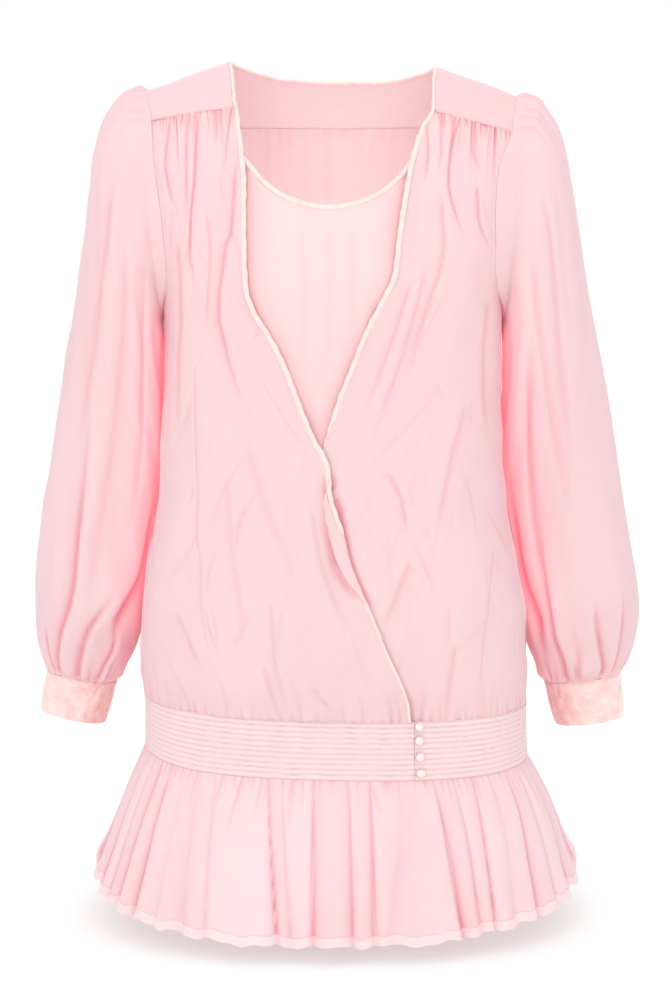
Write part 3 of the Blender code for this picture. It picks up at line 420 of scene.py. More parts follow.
def front_places(side, border_of, u, v):
    """Turns and heights on a front: u runs from its edge to its side, v from the yoke seam to the band."""
    height = mix(front_seam(armhole_x(side, ARMHOLE_MIDDLE)), BAND_TOP, v) + 0 * u
    for _ in range(PLACE_ROUNDS):
        turn = mix(turn_of(border_of(height), height), side * side_turn(side, height), u)
        x = body_point(turn, height)[..., 0]
        height = mix(front_seam(x) - GAP, band_top(x) + GAP, v)
    return turn, height


def back_places(u, v):
    """Turns and heights on the back: u runs from side to side, v from the yoke's back seam to the band."""
    height = mix(BACK_SEAM, BAND_TOP, v) + 0 * u
    for _ in range(PLACE_ROUNDS):
        turn = mix(math.pi - side_turn(1, height), math.pi + side_turn(-1, height), u)
        x = body_point(turn, height)[..., 0]
        height = mix(BACK_SEAM - GAP, band_top(x) + GAP, v)
    return turn, height


def wrap_lift(x, height):
    """How far the over front stands off where the two fronts overlap."""
    return WRAP_LIFT * (1 - ease(*LAP_START, height)) * ease(*LAP_SIDE, x)


def oval(outer, inner, half_depth, centre_y, angle, power):
    """Points on an oval whose long axis, seen from the front, is from outer (angle 0) to inner."""
    along = signed_power(np.cos(angle), 2 / power)
    across = signed_power(np.sin(angle), 2 / power)
    x = (outer[0] + inner[0]) / 2 + (outer[0] - inner[0]) / 2 * along
    z = (outer[1] + inner[1]) / 2 + (outer[1] - inner[1]) / 2 * along
    return np.stack(np.broadcast_arrays(x, centre_y - half_depth * across, z), axis=-1)


def table_ring(table, side, row, angle, centre_y=None):
    outer = (side * table.read_row("outer_x", row), table.read_row("outer_z", row))
    inner = (side * table.read_row("inner_x", row), table.read_row("inner_z", row))
    centre_y = table.read_row("centre_y", row) if centre_y is None else centre_y
    return oval(outer, inner, table.read_row("half_depth", row), centre_y, angle, SLEEVE_POWER)


SHOULDER_TIP = 0.182
SLEEVE_LAP = 0.0012  # how far the sleeve's head runs in under the body's armhole
SLEEVE_SPREAD = 0.0015  # how far it stands out from the armhole's middle, in front and behind


def armhole_point(side, angle):
    """Points of the armhole. angle is 0 on the shoulder, pi at the underarm, and front between them."""
    tip = float(SHOULDER_LINE.read("height", side * SHOULDER_TIP))
    height = (tip + UNDERARM) / 2 + (tip - UNDERARM) / 2 * np.cos(angle)
    turn = side_turn(side, height)
    return body_point(side * np.where(np.sin(angle) > 0, turn, math.pi - turn), height)


def sleeve_points(table, side, angle, row):
    """Points of a sleeve. row is 0 at the armhole and counts the table's sections from 1."""
    angle, row = np.broadcast_arrays(angle, row)
    start = armhole_point(side, angle)
    start[..., 0] += side * (SLEEVE_SPREAD * np.abs(np.sin(angle)) - SLEEVE_LAP)
    ring = table_ring(table, side, np.maximum(row - 1, 0), angle)
    return mix(start, ring, np.clip(row, 0, 1)[..., None])


def ruffle_points(turn, part):
    """Points of the ruffle: turn as on the body, part from 0 at the band to 1 at the hem."""
    turn, part = np.broadcast_arrays(turn, part)
    start = body_point(turn, np.full(turn.shape, BAND_BOTTOM))
    start = body_point(turn, band_bottom(start[..., 0]) - GAP)
    half = np.where(np.sin(turn) > 0, HEM_SECTION["right"], HEM_SECTION["left"])
    depth = np.where(np.cos(turn) > 0, HEM_SECTION["front"], HEM_SECTION["back"])
    end = np.stack([
        half * signed_power(np.sin(turn), 2 / BODY_POWER),
        -depth * signed_power(np.cos(turn), 2 / BODY_POWER),
        HEM + HEM_LIFT * np.sin(turn) ** 2,
    ], axis=-1)
    belly = mix(*RUFFLE_BELLY, 0.5 + 0.5 * np.sin(turn)) * np.sin(math.pi * part) * (1 - part)
    away = np.stack([np.sin(turn), -np.cos(turn), 0 * turn], axis=-1)
    return mix(start, end, part[..., None]) + away * belly[..., None]


# ---------------------------------------------------------------- folds and creases
def along_curve(points, height):
    """Across-distance to a crease that runs down, its slope's share of it and how far along it is."""
    points = np.array(points, float) * MM
    x = smooth_read(points[:, 1], points[:, 0], height)
    slope = (smooth_read(points[:, 1], points[:, 0], height + STEP) - x) / STEP
    along = (points[0, 1] - height) / (points[0, 1] - points[-1, 1])
    return x, 1 / np.sqrt(1 + slope**2), along


FULL_SHADE = 0.0024  # a trough this deep gets the full painted fold shade
LENGTH_STEPS = (0.4, 0.7, 1.0, 1.6, 2.4)  # some gathers are much shorter or longer than others
LEANS = (-1.0, 0.0, 1.0)  # the sides on which a fold may have its ridge, 0 for both
# the gathers at each seam: spacing, range of lengths, range of depths, how they spread, how dark they are
GATHERS = {
    "front_yoke": (0.0042, (0.010, 0.044), (0.0012, 0.0026), 0.30, 1.3),
    "front_band": (0.0075, (0.008, 0.030), (0.0008, 0.0018), 0.50, 0.7),
    "back_yoke": (0.0080, (0.020, 0.080), (0.0012, 0.0026), 0.30, 1.0),
    "back_band": (0.0105, (0.010, 0.030), (0.0006, 0.0016), 0.30, 1.0),
    "sleeve_head": (0.0105, (0.010, 0.045), (0.0004, 0.0012), 0.70, 1.0),
    "cuff_long": (0.0072, (0.014, 0.036), (0.0010, 0.0024), 0.80, 1.0),
    "cuff_short": (0.0040, (0.005, 0.013), (0.0008, 0.0016), 0.80, 1.0),
    "ruffle": (0.0062, (0.012, 0.036), (0.0008, 0.0018), 1.20, 1.0),
}
# the soft unevenness of each piece: its size, how many waves it is made of, and about how long they are
WAVES = {
    "front": (0.0011, 7, 0.085),
    "front_upright": (0.0005, 5, 0.060),
    "back": (0.0012, 7, 0.090),
    "yoke": (0.0004, 5, 0.060),
    "insert": (0.0006, 6, 0.050),
    "sleeve": (0.0012, 7, 0.075),
    "ruffle": (0.0008, 6, 0.045),
}
# where each piece's random draws begin, so that every run gives the same cloth
SEEDS = {
    "front_over": 11, "front_under": 12, "back": 21, "yoke": 31, "insert": 41, "bindings": 51,
    "sleeve_left": 61, "sleeve_right": 62, "cuff_left": 71, "cuff_right": 72,
    "band_front_over": 81, "band_front_under": 82, "band_back": 83,
    "ruffle_front": 91, "ruffle_back": 92, "back_lines": 5,
}


# The rows and columns of each piece's grid of points. They are odd, because the shell's inner side has
# every second one.
GRIDS = {
    "front_over": (271, 181), "front_under": (271, 201), "flap": (121, 21), "back": (161, 181),
    "yoke": (29, 221), "insert": (101, 91), "cuff_left": (33, 161), "cuff_right": (33, 161),
    "ruffle_front": (61, 481), "ruffle_back": (61, 481),
}


def draws(name):
    return np.random.default_rng(SEEDS[name])


def spaced(count, start=0.0, end=1.0):
    return np.linspace(start, end, count)


def grid_of(name, across=(0.0, 1.0), down=(0.0, 1.0)):
    """The places of a piece's grid: those across it in a row, and those down it in a column."""
    rows, columns = GRIDS[name]
    return spaced(columns, *across)[None, :], spaced(rows, *down)[:, None]


class Relief:
    """The folds on a grid of points: how far they stand out, and how strong the painted shade in them is."""

    def __init__(self, shape):
        self.height = np.zeros(shape)
        self.shade = np.zeros(shape)

    def fold(self, across, width, depth, fade, lean=0.0, dark=1.0):
        """A trough at across 0. It has a soft ridge on both sides, or, where lean is 1 or -1, a fuller
        one on that side and a shadow that fades away on the other, as where cloth laps over itself. The
        numbers below are places in widths of the fold, and shares of its depth."""
        place = across / width
        trough = bell(place)
        if lean == 0:
            ridge = bell((np.abs(place) - 1.9) / 1.2)
            self.height += depth * fade * (0.30 * ridge - trough)
            dusk = trough
        else:
            lit = place * lean
            ridge = bell((lit - 1.5) / np.where(lit > 1.5, 2.8, 1.0))
            self.height += depth * fade * (0.55 * ridge - 0.80 * trough)
            dusk = 0.50 * np.where(lit < 0, np.exp(np.minimum(lit, 0) / 1.7), bell(lit / 0.5))
            dusk = dusk + 0.50 * bell(place / 0.7)
        self.shade = np.maximum(self.shade, dark * fade * min(1.0, depth / FULL_SHADE) * dusk)

    def add_creases(self, creases, x, height):
        """Creases of a front, in its own millimetres, seen from the front."""
        for width, depth, lean, points in creases:
            line, upright, along = along_curve(points, height)
            fade = ease(-0.02, 0.10, along) * (1 - ease(0.62, 1.0, along))
            self.fold((x - line) * upright, width * MM, depth * MM, fade, lean)

    def add_gathers(self, rng, seam, along, down, start, end):
        """Small folds from a seam, uneven in place, length, depth and direction."""
        spacing, lengths, depths, spread, dark = GATHERS[seam]
        place = start + spacing * rng.uniform(0.2, 0.8)
        while place < end:
            length = rng.uniform(*lengths) * rng.choice(LENGTH_STEPS)
            width = spacing * rng.uniform(0.20, 0.34)
            depth = rng.uniform(*depths)
            drift = rng.normal(0.0, 0.06)
            lean = rng.choice(LEANS)
            part = np.clip(down / length, 0, 1)
            fade = (1 - part) ** 1.4
            across = (along - place - drift * down) / (1 + spread * down / length)
            self.fold(across, width, depth, fade, lean, dark)
            place += spacing * rng.uniform(0.55, 1.45)

    def add_faint_lines(self, rng, x, height, count, sideways, upright):
        """Faint lines such as thin cloth takes when it has been folded away."""
        for _ in range(count):
            middle = rng.uniform(*sideways)
            level = rng.uniform(*upright)
            half = rng.uniform(0.010, 0.050)
            slant = rng.normal(0.0, 0.35)
            bow = rng.normal(0.0, 0.003)
            along = (height - level) / half
            fade = np.clip(1 - along**2, 0, 1) ** 1.5
            across = x - middle - slant * (height - level) - bow * along**2
            lean = rng.choice(LEANS)
            self.fold(across, rng.uniform(0.0010, 0.0026), rng.uniform(0.0003, 0.0009), fade, lean, 0.8)

    def add_waves(self, rng, piece, across, down):
        """Soft unevenness: a sum of long waves, each with its own place and direction."""
        size, count, span = WAVES[piece]
        for _ in range(count):
            length = span * rng.uniform(0.5, 1.6)
            tilt = rng.normal(0.0, 0.35)
            phase = rng.uniform(0, 2 * math.pi)
            bend = 0.4 * np.sin(down / (span * 1.7) + rng.uniform(0, 6))
            wave = np.sin(2 * math.pi * (across + tilt * down) / length + phase + bend)
            self.height += size / math.sqrt(count) * wave


# ---------------------------------------------------------------- meshes
SHARP_EDGE = math.radians(70)


def steps_along(points, axis):
    """Length along a grid's rows or columns, from its first line."""
    lengths = np.linalg.norm(np.diff(points, axis=axis), axis=-1)
    zero = np.zeros_like(np.take(lengths, [0], axis=axis))
    return np.concatenate([zero, np.cumsum(lengths, axis=axis)], axis=axis)


def grid_normals(points, outward, closed=False):
    """Unit normals of a grid of points, on the side of outward."""
    if closed:
        ring = np.concatenate([points[:, -2:-1], points, points[:, 1:2]], axis=1)
        across = ring[:, 2:] - ring[:, :-2]
    else:
        across = np.gradient(points, axis=1)
    down = np.gradient(points, axis=0)
    normals = np.cross(across, down)
    normals /= np.maximum(np.linalg.norm(normals, axis=-1, keepdims=True), 1e-12)
    return normals if np.sum(normals * outward) > 0 else -normals


def grid_faces(numbers):
    corners = [numbers[:-1, :-1], numbers[:-1, 1:], numbers[1:, 1:], numbers[1:, :-1]]
    return np.stack(corners, axis=-1).reshape(-1, 4)


def rim_faces(fine, coarse):
    """Triangles from an outer edge to an inner one that has every second point."""
    middle = fine[1::2]
    first = np.stack([fine[:-1:2], middle, coarse[:-1]], axis=-1)
    second = np.stack([middle, coarse[1:], coarse[:-1]], axis=-1)
    third = np.stack([middle, fine[2::2], coarse[1:]], axis=-1)
    return np.concatenate([first, second, third])


def make_object(name, data):
    made = bpy.data.objects.new(name, data)
    bpy.context.scene.collection.objects.link(made)
    return made


def make_mesh(name, points, quads, triangles, uv, attributes, same):
    """An object from numbered points. same maps a repeated point to the one that stands for it."""
    kept, renumbered = np.unique(same, return_inverse=True)
    faces = renumbered[quads].tolist() + renumbered[triangles].tolist()
    mesh = bpy.data.meshes.new(name)
    mesh.from_pydata(points[kept].tolist(), [], faces)
    corners = np.concatenate([quads.ravel(), triangles.ravel()])
    layer = mesh.uv_layers.new(name="UVMap")
    layer.data.foreach_set("uv", uv[corners].astype(np.float32).ravel())
    for attribute, values in attributes.items():
        made = mesh.attributes.new(attribute, "FLOAT", "POINT")
        made.data.foreach_set("value", values[kept].astype(np.float32))
    mesh.shade_smooth()
    mesh.set_sharp_from_angle(angle=SHARP_EDGE)
    return make_object(name, mesh)


def make_cloth(name, outer, outward, shade, thickness=THIN, closed=False, **attributes):
    """A thin closed shell whose outer side is a grid of points. The inner side has every second point.
    A closed grid's last column repeats its first."""
    normals = grid_normals(outer, outward, closed)
    turned = np.sum(normals * np.cross(np.gradient(outer, axis=1), np.gradient(outer, axis=0))) > 0
    inner = (outer - normals * thickness)[::2, ::2]
    rows, columns = outer.shape[:2]
    outer_numbers = np.arange(rows * columns).reshape(rows, columns)
    inner_numbers = rows * columns + np.arange(inner.shape[0] * inner.shape[1]).reshape(inner.shape[:2])
    same = np.arange(rows * columns + inner_numbers.size)
    if closed:
        same[outer_numbers[:, -1]] = outer_numbers[:, 0]
        same[inner_numbers[:, -1]] = inner_numbers[:, 0]
    quads = np.concatenate([grid_faces(outer_numbers), grid_faces(inner_numbers)[:, ::-1]])
    rims = [
        rim_faces(outer_numbers[0, ::-1], inner_numbers[0, ::-1]),
        rim_faces(outer_numbers[-1], inner_numbers[-1]),
    ]
    if not closed:
        rims.append(rim_faces(outer_numbers[:, 0], inner_numbers[:, 0]))
        rims.append(rim_faces(outer_numbers[::-1, -1], inner_numbers[::-1, -1]))
    triangles = np.concatenate(rims)
    if turned:
        quads, triangles = quads[:, ::-1], triangles[:, ::-1]

    def both(values):
        """Values for the outer points and then for the inner ones."""
        inside = values[::2, ::2].reshape(inner_numbers.size, -1)
        return np.concatenate([values.reshape(rows * columns, -1), inside])

    uv = both(np.stack([steps_along(outer, 1), steps_along(outer, 0)], axis=-1))
    values = {"fold": both(shade).ravel()}
    values.update({key: both(value).ravel() for key, value in attributes.items()})
    points = np.concatenate([outer.reshape(-1, 3), inner.reshape(-1, 3)])
    return make_mesh(name, points, quads, triangles, uv, values, same)


def make_strip(name, path, normals, across, width, section):
    """A ribbon along a path. section gives places across (0 to 1) and heights of its outline in metres."""
    rings = np.stack([
        path + across * (width * place)[:, None] + normals * lift
        for place, lift in section
    ], axis=1)
    count, around = rings.shape[:2]
    ring = np.concatenate([rings, rings[:, :1]], axis=1)
    numbers = np.arange(count * (around + 1)).reshape(count, around + 1)
    same = numbers.copy()
    same[:, -1] = numbers[:, 0]
    quads = grid_faces(numbers)
    centres = numbers.size + np.arange(2)
    points = np.concatenate([ring.reshape(-1, 3), rings[[0, -1]].mean(axis=1)])
    first = np.stack([numbers[0, 1:], numbers[0, :-1], np.full(around, centres[0])], axis=-1)
    last = np.stack([numbers[-1, :-1], numbers[-1, 1:], np.full(around, centres[1])], axis=-1)
    uv = np.stack([steps_along(ring, 1), steps_along(ring, 0)], axis=-1).reshape(-1, 2)
    uv = np.concatenate([uv, uv[[0, -1]]])
    triangles = np.concatenate([first, last])
    middle = rings.mean(axis=1, keepdims=True)
    face = np.cross(ring[1, 0] - ring[0, 0], ring[0, 1] - ring[0, 0])
    if np.dot(face, ring[0, 0] - middle[0, 0]) < 0:
        quads, triangles = quads[:, ::-1], triangles[:, ::-1]
    plain = {"fold": np.zeros(len(points))}
    return make_mesh(name, points, quads, triangles, uv, plain, np.concatenate([same.ravel(), centres]))


# ---------------------------------------------------------------- materials
def linear(red, green, blue):
    """A colour given as on a screen, 0 to 255, as the linear light that a shader takes."""
    values = []
    for part in (red, green, blue):
        share = part / 255
        values.append(share / 12.92 if share <= 0.04045 else ((share + 0.055) / 1.055) ** 2.4)
    return (*values, 1.0)


class Shader:
    """A small helper that adds nodes to one material."""

    def __init__(self, name):
        self.material = bpy.data.materials.new(name)
        self.material.use_nodes = True
        self.tree = self.material.node_tree
        self.surface = self.tree.nodes["Principled BSDF"]
        self.output = self.tree.nodes["Material Output"]

    def node(self, kind, **inputs):
        made = self.tree.nodes.new(kind)
        self.fill(made, **inputs)
        return made

    def fill(self, node, **inputs):
        """Sets inputs by name, with an underscore for each space."""
        for name, value in inputs.items():
            self.put(node, name.replace("_", " "), value)

    def put(self, node, name, value):
        """Sets an input, by name or number, to a number or colour, or links another node's output to it."""
        target = node.inputs[name]
        if isinstance(value, bpy.types.NodeSocket):
            self.tree.links.new(value, target)
        else:
            target.default_value = value

    def attribute(self, name):
        made = self.tree.nodes.new("ShaderNodeAttribute")
        made.attribute_name = name
        return made.outputs["Fac"]

    def math(self, operation, first, second=0.0, clamp=False):
        made = self.tree.nodes.new("ShaderNodeMath")
        made.operation = operation
        made.use_clamp = clamp
        self.put(made, 0, first)
        self.put(made, 1, second)
        return made.outputs[0]

    def blend(self, part, first, second):
        made = self.tree.nodes.new("ShaderNodeMix")
        made.data_type = "RGBA"
        for number, value in ((0, part), (6, first), (7, second)):
            self.put(made, number, value)
        return made.outputs[2]

    def stretched(self, source, scale):
        """Texture places from "UV" or "Object", scaled along each axis."""
        places = self.node("ShaderNodeTexCoord")
        return self.node("ShaderNodeMapping", Scale=scale, Vector=places.outputs[source]).outputs["Vector"]

    def noise(self, source, scale, detail, roughness=0.5, size=1.0):
        places = self.stretched(source, scale)
        made = self.node("ShaderNodeTexNoise", Vector=places, Scale=size, Detail=detail, Roughness=roughness)
        return made.outputs["Fac"]

    def band(self, value, low, high):
        """0 below low, 1 above high and straight between."""
        return self.node("ShaderNodeMapRange", Value=value, From_Min=low, From_Max=high).outputs["Result"]

    def bumps(self, layers):
        """Bump nodes in a row, each with a height, a strength and a distance."""
        normal = None
        for height, strength, distance in layers:
            made = self.node("ShaderNodeBump", Strength=strength, Distance=distance, Height=height)
            if normal is not None:
                self.put(made, "Normal", normal)
            normal = made.outputs["Normal"]
        return normal


BLACK = (0.0, 0.0, 0.0, 1.0)
WHITE = (1.0, 1.0, 1.0, 1.0)
WARM = linear(248, 224, 222)
PALE = linear(252, 240, 241)
PAINTED_GLOW = linear(250, 140, 152)  # painted glow: the emitted colour that stands in for the light thin cloth passes on in narrow gaps
HEM_PALE = linear(255, 232, 234)
HEM_LINE = linear(238, 176, 184)
HEM_DEPTH = 0.0088  # how far up a ruffle its hem is turned

# each cloth: its colour in the light, the colour of the painted shade in its folds and shaded places, and
# its colour where light shines through, as on a screen, the share of the light that does, and how strongly
# it is crinkled
CLOTHS = {
    "chiffon": ((247, 219, 223), (243, 160, 171), (251, 210, 217), 0.20, 0.12),
    "insert_chiffon": ((246, 221, 223), (246, 178, 180), (250, 218, 221), 0.16, 0.12),
    # the back and the yoke are the same chiffon, painted lighter as a stand-in for the light on the back's
    # shaded inside
    "back_chiffon_painted_lighter": ((246, 225, 228), (243, 160, 171), (249, 217, 221), 0.16, 0.12),
    "band_chiffon": ((247, 226, 229), (240, 176, 186), (250, 214, 220), 0.14, 0.20),
    "ruffle_chiffon": ((247, 224, 228), (243, 160, 171), (250, 214, 220), 0.13, 0.12),
}
# each satin: its colour in the light and a second colour, which it takes in random patches and, as painted
# shade, in its folds, its roughness, and how strong and how fine it is crumpled
SATINS = {
    "binding_satin": ((247, 221, 215), (244, 196, 193), 0.50, 0.12, 150),
    "cuff_satin": ((247, 222, 215), (243, 176, 175), 0.36, 1.00, 95),
    "button_satin": ((249, 230, 225), (245, 205, 202), 0.45, 0.10, 300),
    "stitches": ((238, 165, 174), (232, 150, 160), 0.60, 0.00, 300),
}
# the textures of a cloth: what they lie on, how fine they are along each axis, their detail and roughness
CLOTH_TEXTURES = {
    "tone": ("Object", (9.0, 9.0, 5.0), 1.0, 0.50),
    "warm": ("Object", (34.0, 34.0, 5.0), 1.0, 0.50),
    "slubs": ("UV", (420.0, 26.0, 1.0), 1.0, 0.50),
    "weave": ("UV", (1500.0, 1500.0, 1.0), 0.0, 0.50),
    "wrinkle": ("UV", (70.0, 32.0, 1.0), 3.0, 0.60),
    "crease": ("UV", (24.0, 11.0, 1.0), 2.0, 0.55),
}


def cloth_material(name, light, deep, through, share, crinkle):
    """Thin matte cloth: light passes through it. Its folds and shaded places are darkened with painted
    shade, and narrow gaps are lit with a painted glow.
    """
    shader = Shader(name)
    light, deep, through = linear(*light), linear(*deep), linear(*through)
    fold = shader.attribute("fold")
    texture = {key: shader.noise(*values) for key, values in CLOTH_TEXTURES.items()}
    pressed = shader.math("ABSOLUTE", shader.math("SUBTRACT", texture["crease"], 0.5))
    pressed = shader.band(pressed, 0.0, 0.022)
    uneven = shader.math("MULTIPLY", shader.band(texture["tone"], 0.40, 0.80), 0.10)
    # painted shade: the "fold" attribute darkens the colour, with a tone that differs at random added in
    painted_shade_and_tone = shader.math("ADD", shader.math("MULTIPLY", fold, 0.92), uneven, clamp=True)
    warmer = shader.math("MULTIPLY", shader.band(texture["warm"], 0.42, 0.72), 0.35)
    colour = shader.blend(painted_shade_and_tone, shader.blend(warmer, light, WARM), deep)
    pale = shader.math("MULTIPLY", shader.band(texture["slubs"], 0.48, 0.78), 0.14)
    normal = shader.bumps([
        (texture["weave"], 0.10, 0.0002),
        (texture["slubs"], 0.10, 0.0003),
        (texture["wrinkle"], crinkle, 0.0012),
        (pressed, 0.16, 0.0006),
    ])
    # painted light: the "glow" attribute sets an emission that stands in for light passed on through the
    # cloth
    painted_glow = shader.math("MULTIPLY", shader.attribute("glow"), 0.50)
    shader.fill(shader.surface, Base_Color=shader.blend(pale, colour, PALE), Normal=normal, Roughness=0.75,
                Specular_IOR_Level=0.20, Sheen_Weight=0.15, Sheen_Roughness=0.45,
                Emission_Color=shader.blend(painted_glow, BLACK, PAINTED_GLOW), Emission_Strength=1.0)
    shader.material.cycles.emission_sampling = "NONE"
    # the light through the cloth also takes the painted shade of the "fold" attribute
    beyond = shader.node("ShaderNodeBsdfTranslucent", Color=shader.blend(fold, through, deep), Normal=normal)
    both = shader.node("ShaderNodeMixShader")
    shader.put(both, 0, share)
    shader.put(both, 1, shader.surface.outputs["BSDF"])
    shader.put(both, 2, beyond.outputs["BSDF"])
    shader.put(shader.output, "Surface", both.outputs["Shader"])
    return shader


def satin_material(name, light, deep, roughness, crumple, size):
    """Satin: smoother than chiffon, with a soft sheen that breaks up over small crumples."""
    shader = Shader(name)
    patches = shader.noise("Object", (1.0, 1.0, 1.0), 2.0, 0.45, size)
    fine = shader.noise("UV", (900.0, 300.0, 1.0), 2.0)
    patchy = shader.math("MULTIPLY", shader.band(patches, 0.40, 0.66), 0.38)
    # random patches of tone, and painted shade from the "fold" attribute
    part = shader.math("ADD", patchy, shader.math("MULTIPLY", shader.attribute("fold"), 0.75), clamp=True)
    shader.fill(shader.surface, Base_Color=shader.blend(part, linear(*light), linear(*deep)),
                Normal=shader.bumps([(fine, 0.06, 0.0002), (patches, crumple, 0.004)]), Roughness=roughness,
                Specular_IOR_Level=0.55, Sheen_Weight=0.20, Anisotropic=0.3)
    return shader


def hem_stitching(shader):
    """The turned hem on a ruffle: paler, with a thin deeper line at its sewn edge."""
    distance = shader.attribute("hem")
    inside = shader.math("SUBTRACT", 1.0, shader.band(distance, HEM_DEPTH - 0.0002, HEM_DEPTH + 0.0004))
    above = shader.math("SUBTRACT", 1.0, shader.band(distance, HEM_DEPTH + 0.0006, HEM_DEPTH + 0.0014))
    line = shader.math("MULTIPLY", shader.band(distance, HEM_DEPTH - 0.0004, HEM_DEPTH + 0.0002), above)
    colour = shader.surface.inputs["Base Color"].links[0].from_socket
    colour = shader.blend(shader.math("MULTIPLY", inside, 0.66), colour, HEM_PALE)
    colour = shader.blend(shader.math("MULTIPLY", line, 0.45), colour, HEM_LINE)
    shader.put(shader.surface, "Base Color", colour)


SHADERS = {name: cloth_material(name, *values) for name, values in CLOTHS.items()}
SHADERS.update({name: satin_material(name, *values) for name, values in SATINS.items()})
hem_stitching(SHADERS["ruffle_chiffon"])


def dress(piece, look, slot, *nodes):
    """Gives a piece its material, hangs it on the root body, and hides the solids that it stands for."""
    piece.data.materials.append(SHADERS[look].material)
    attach(piece, "root")
    if nodes:
        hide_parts(*nodes)
    return piece


# ---------------------------------------------------------------- the fronts
UNDER_RIBBON = 0.45  # the cloth's edge lies under the ribbon, this share of its width in from the outside
DEEPEST = -0.0013  # no trough goes deeper than this, so that none reaches the insert
UNDER_SEAM = 0.005  # how far a panel runs on under the yoke and the band, as a share of its height
PANEL_DOWN = (-UNDER_SEAM, 1 + UNDER_SEAM)
CLOTH_RISE = 0.0006  # how far a panel stands off the surface that it shares with its solid
NECK_GATHERS_END = (-0.094, 0.092)  # beside the neck, left and right
FAINT_LINES = 46
FAINT_LINES_BETWEEN = (-0.60, -0.12)  # heights
# how far the over front's edge is turned back on itself
FLAP = Table(("height", "width"), [
    (-0.398, 0.0), (-0.410, 0.0035), (-0.425, 0.0105), (-0.440, 0.0140), (-0.4525, 0.0150),
    (-0.477, 0.0130), (-0.495, 0.0110), (-0.508, 0.0075), (-0.516, 0.0040), (-0.522, 0.0),
])
FLAP_BETWEEN = (-0.4005, -0.5205)


def over_border(height):
    return OVER_EDGE.read("x", height) - BINDING_WIDTH * UNDER_RIBBON


def under_border(height):
    return UNDER_EDGE.read("x", height) + BINDING_WIDTH * UNDER_RIBBON


def outward_from(points, core_height=None):
    """Directions away from the garment's axis, or from the point on it at core_height."""
    away = points.copy()
    away[..., 2] = 0 if core_height is None else points[..., 2] - core_height
    return away


def tucked_under(rise, v):
    """A panel's rise, drawn in where the panel runs on under the pieces above and below it."""
    inside = ease(-UNDER_SEAM * 0.6, 0.0, v) * (1 - ease(1.0, 1 + UNDER_SEAM * 0.6, v))
    return mix(-0.0010, np.maximum(rise, DEEPEST), inside)


def relief_share(free):
    """How much of its relief cloth keeps: a quarter where a seam holds it, all where it is free."""
    return 0.25 + 0.75 * free


def front_panel(name, side, border_of, creases):
    rng = draws(name)
    u, v = grid_of(name, down=PANEL_DOWN)
    turn, height = front_places(side, border_of, u, v)
    base = body_point(turn, height)
    x = base[..., 0]
    normals = grid_normals(base, outward_from(base))
    relief = Relief(x.shape)
    relief.add_creases(creases, x, height)
    down = np.maximum(0.0, front_seam(x) - height)
    low, high = (x.min(), NECK_GATHERS_END[0]) if side < 0 else (NECK_GATHERS_END[1], x.max())
    relief.add_gathers(rng, "front_yoke", x, down, low, high)
    relief.height *= mix(0.45, 1.0, ease(0.0, 0.005, down))
    above_band = np.maximum(0.0, height - band_top(x))
    arc = steps_along(base, 1)
    relief.add_gathers(rng, "front_band", arc, above_band, 0.004, float(arc[-1].max()))
    sideways = (float(x.min()), float(x.max()))
    relief.add_faint_lines(rng, x, height, FAINT_LINES, sideways, FAINT_LINES_BETWEEN)
    relief.add_waves(rng, "front", x, height)
    relief.add_waves(rng, "front_upright", height, x)
    lift = wrap_lift(x, height) if side < 0 else 0 * x
    free = ease(0.0, 0.03, u) * ease(0.0, 0.02, 1 - u)
    rise = lift + mix(CLOTH_RISE, 0.0, ease(0.90, 1.0, u)) + relief.height * relief_share(free)
    outer = base + normals * tucked_under(rise, v)[..., None]
    outer[..., 1] -= GAP / 2
    return outer, normals, relief


def painted_side_glow(points):
    """Painted glow, standing in for light that thin cloth passes on: up to 0.4 on the strip of the body that
    faces a sleeve, 0 elsewhere.
    """
    height = points[..., 2]
    beside = ease(0.006, 0.0, half_width(points[..., 0], height) - np.abs(points[..., 0]))
    return 0.4 * beside * ease(-0.18, -0.235, height) * ease(-0.61, -0.57, height)


SHADOW_WIDTH = 0.0030  # of the lap's shadows on the fronts


def make_front_over():
    outer, normals, relief = front_panel("front_over", -1, over_border, OVER_CREASES)
    line, upright, along = along_curve(FREE_EDGE, outer[..., 2])
    beside = np.minimum(0, (outer[..., 0] - line) * upright)
    fade = ease(-0.02, 0.15, along) * (1 - ease(0.85, 1.02, along))
    relief.shade = np.maximum(relief.shade, 0.75 * fade * np.exp(beside / SHADOW_WIDTH))
    piece = make_cloth("front_over_cloth", outer, normals, relief.shade, glow=painted_side_glow(outer))
    return dress(piece, "chiffon", "chiffon", "front_over")


def make_front_under():
    outer, normals, relief = front_panel("front_under", 1, under_border, UNDER_CREASES)
    x, height = outer[..., 0], outer[..., 2]
    line, upright, along = along_curve(FOLD_SHADOW, height)
    fade = ease(-0.05, 0.1, along) * (1 - ease(0.9, 1.05, along))
    across = (x - line) * upright
    beside = bell(np.maximum(0, across) / SHADOW_WIDTH) * ease(-0.006, 0.0, across)
    relief.shade = np.maximum(relief.shade, fade * beside)
    outer += normals * (0.0012 * fade * bell((across - 0.0062) / 0.0024))[..., None]
    # the lap presses it back a little, so that it stays behind the over front
    behind = 1 - ease(0.0, 0.006, x - OVER_EDGE.read("x", height))
    outer -= normals * (0.0012 * behind * ease(-0.33, -0.37, height))[..., None]
    piece = make_cloth("front_under_cloth", outer, normals, relief.shade, glow=painted_side_glow(outer))
    return dress(piece, "chiffon", "chiffon", "front_under")


def over_surface(x, height, lift):
    """Points on the over front by x and height, raised by lift."""
    turn = turn_of(x, height)
    points = body_point(turn, height)
    along = body_point(turn + STEP, height) - body_point(turn - STEP, height)
    down = body_point(turn, height + STEP) - body_point(turn, height - STEP)
    normals = facing(unit(np.cross(along, down)), outward_from(points))
    return points + normals * np.asarray(lift)[..., None], normals


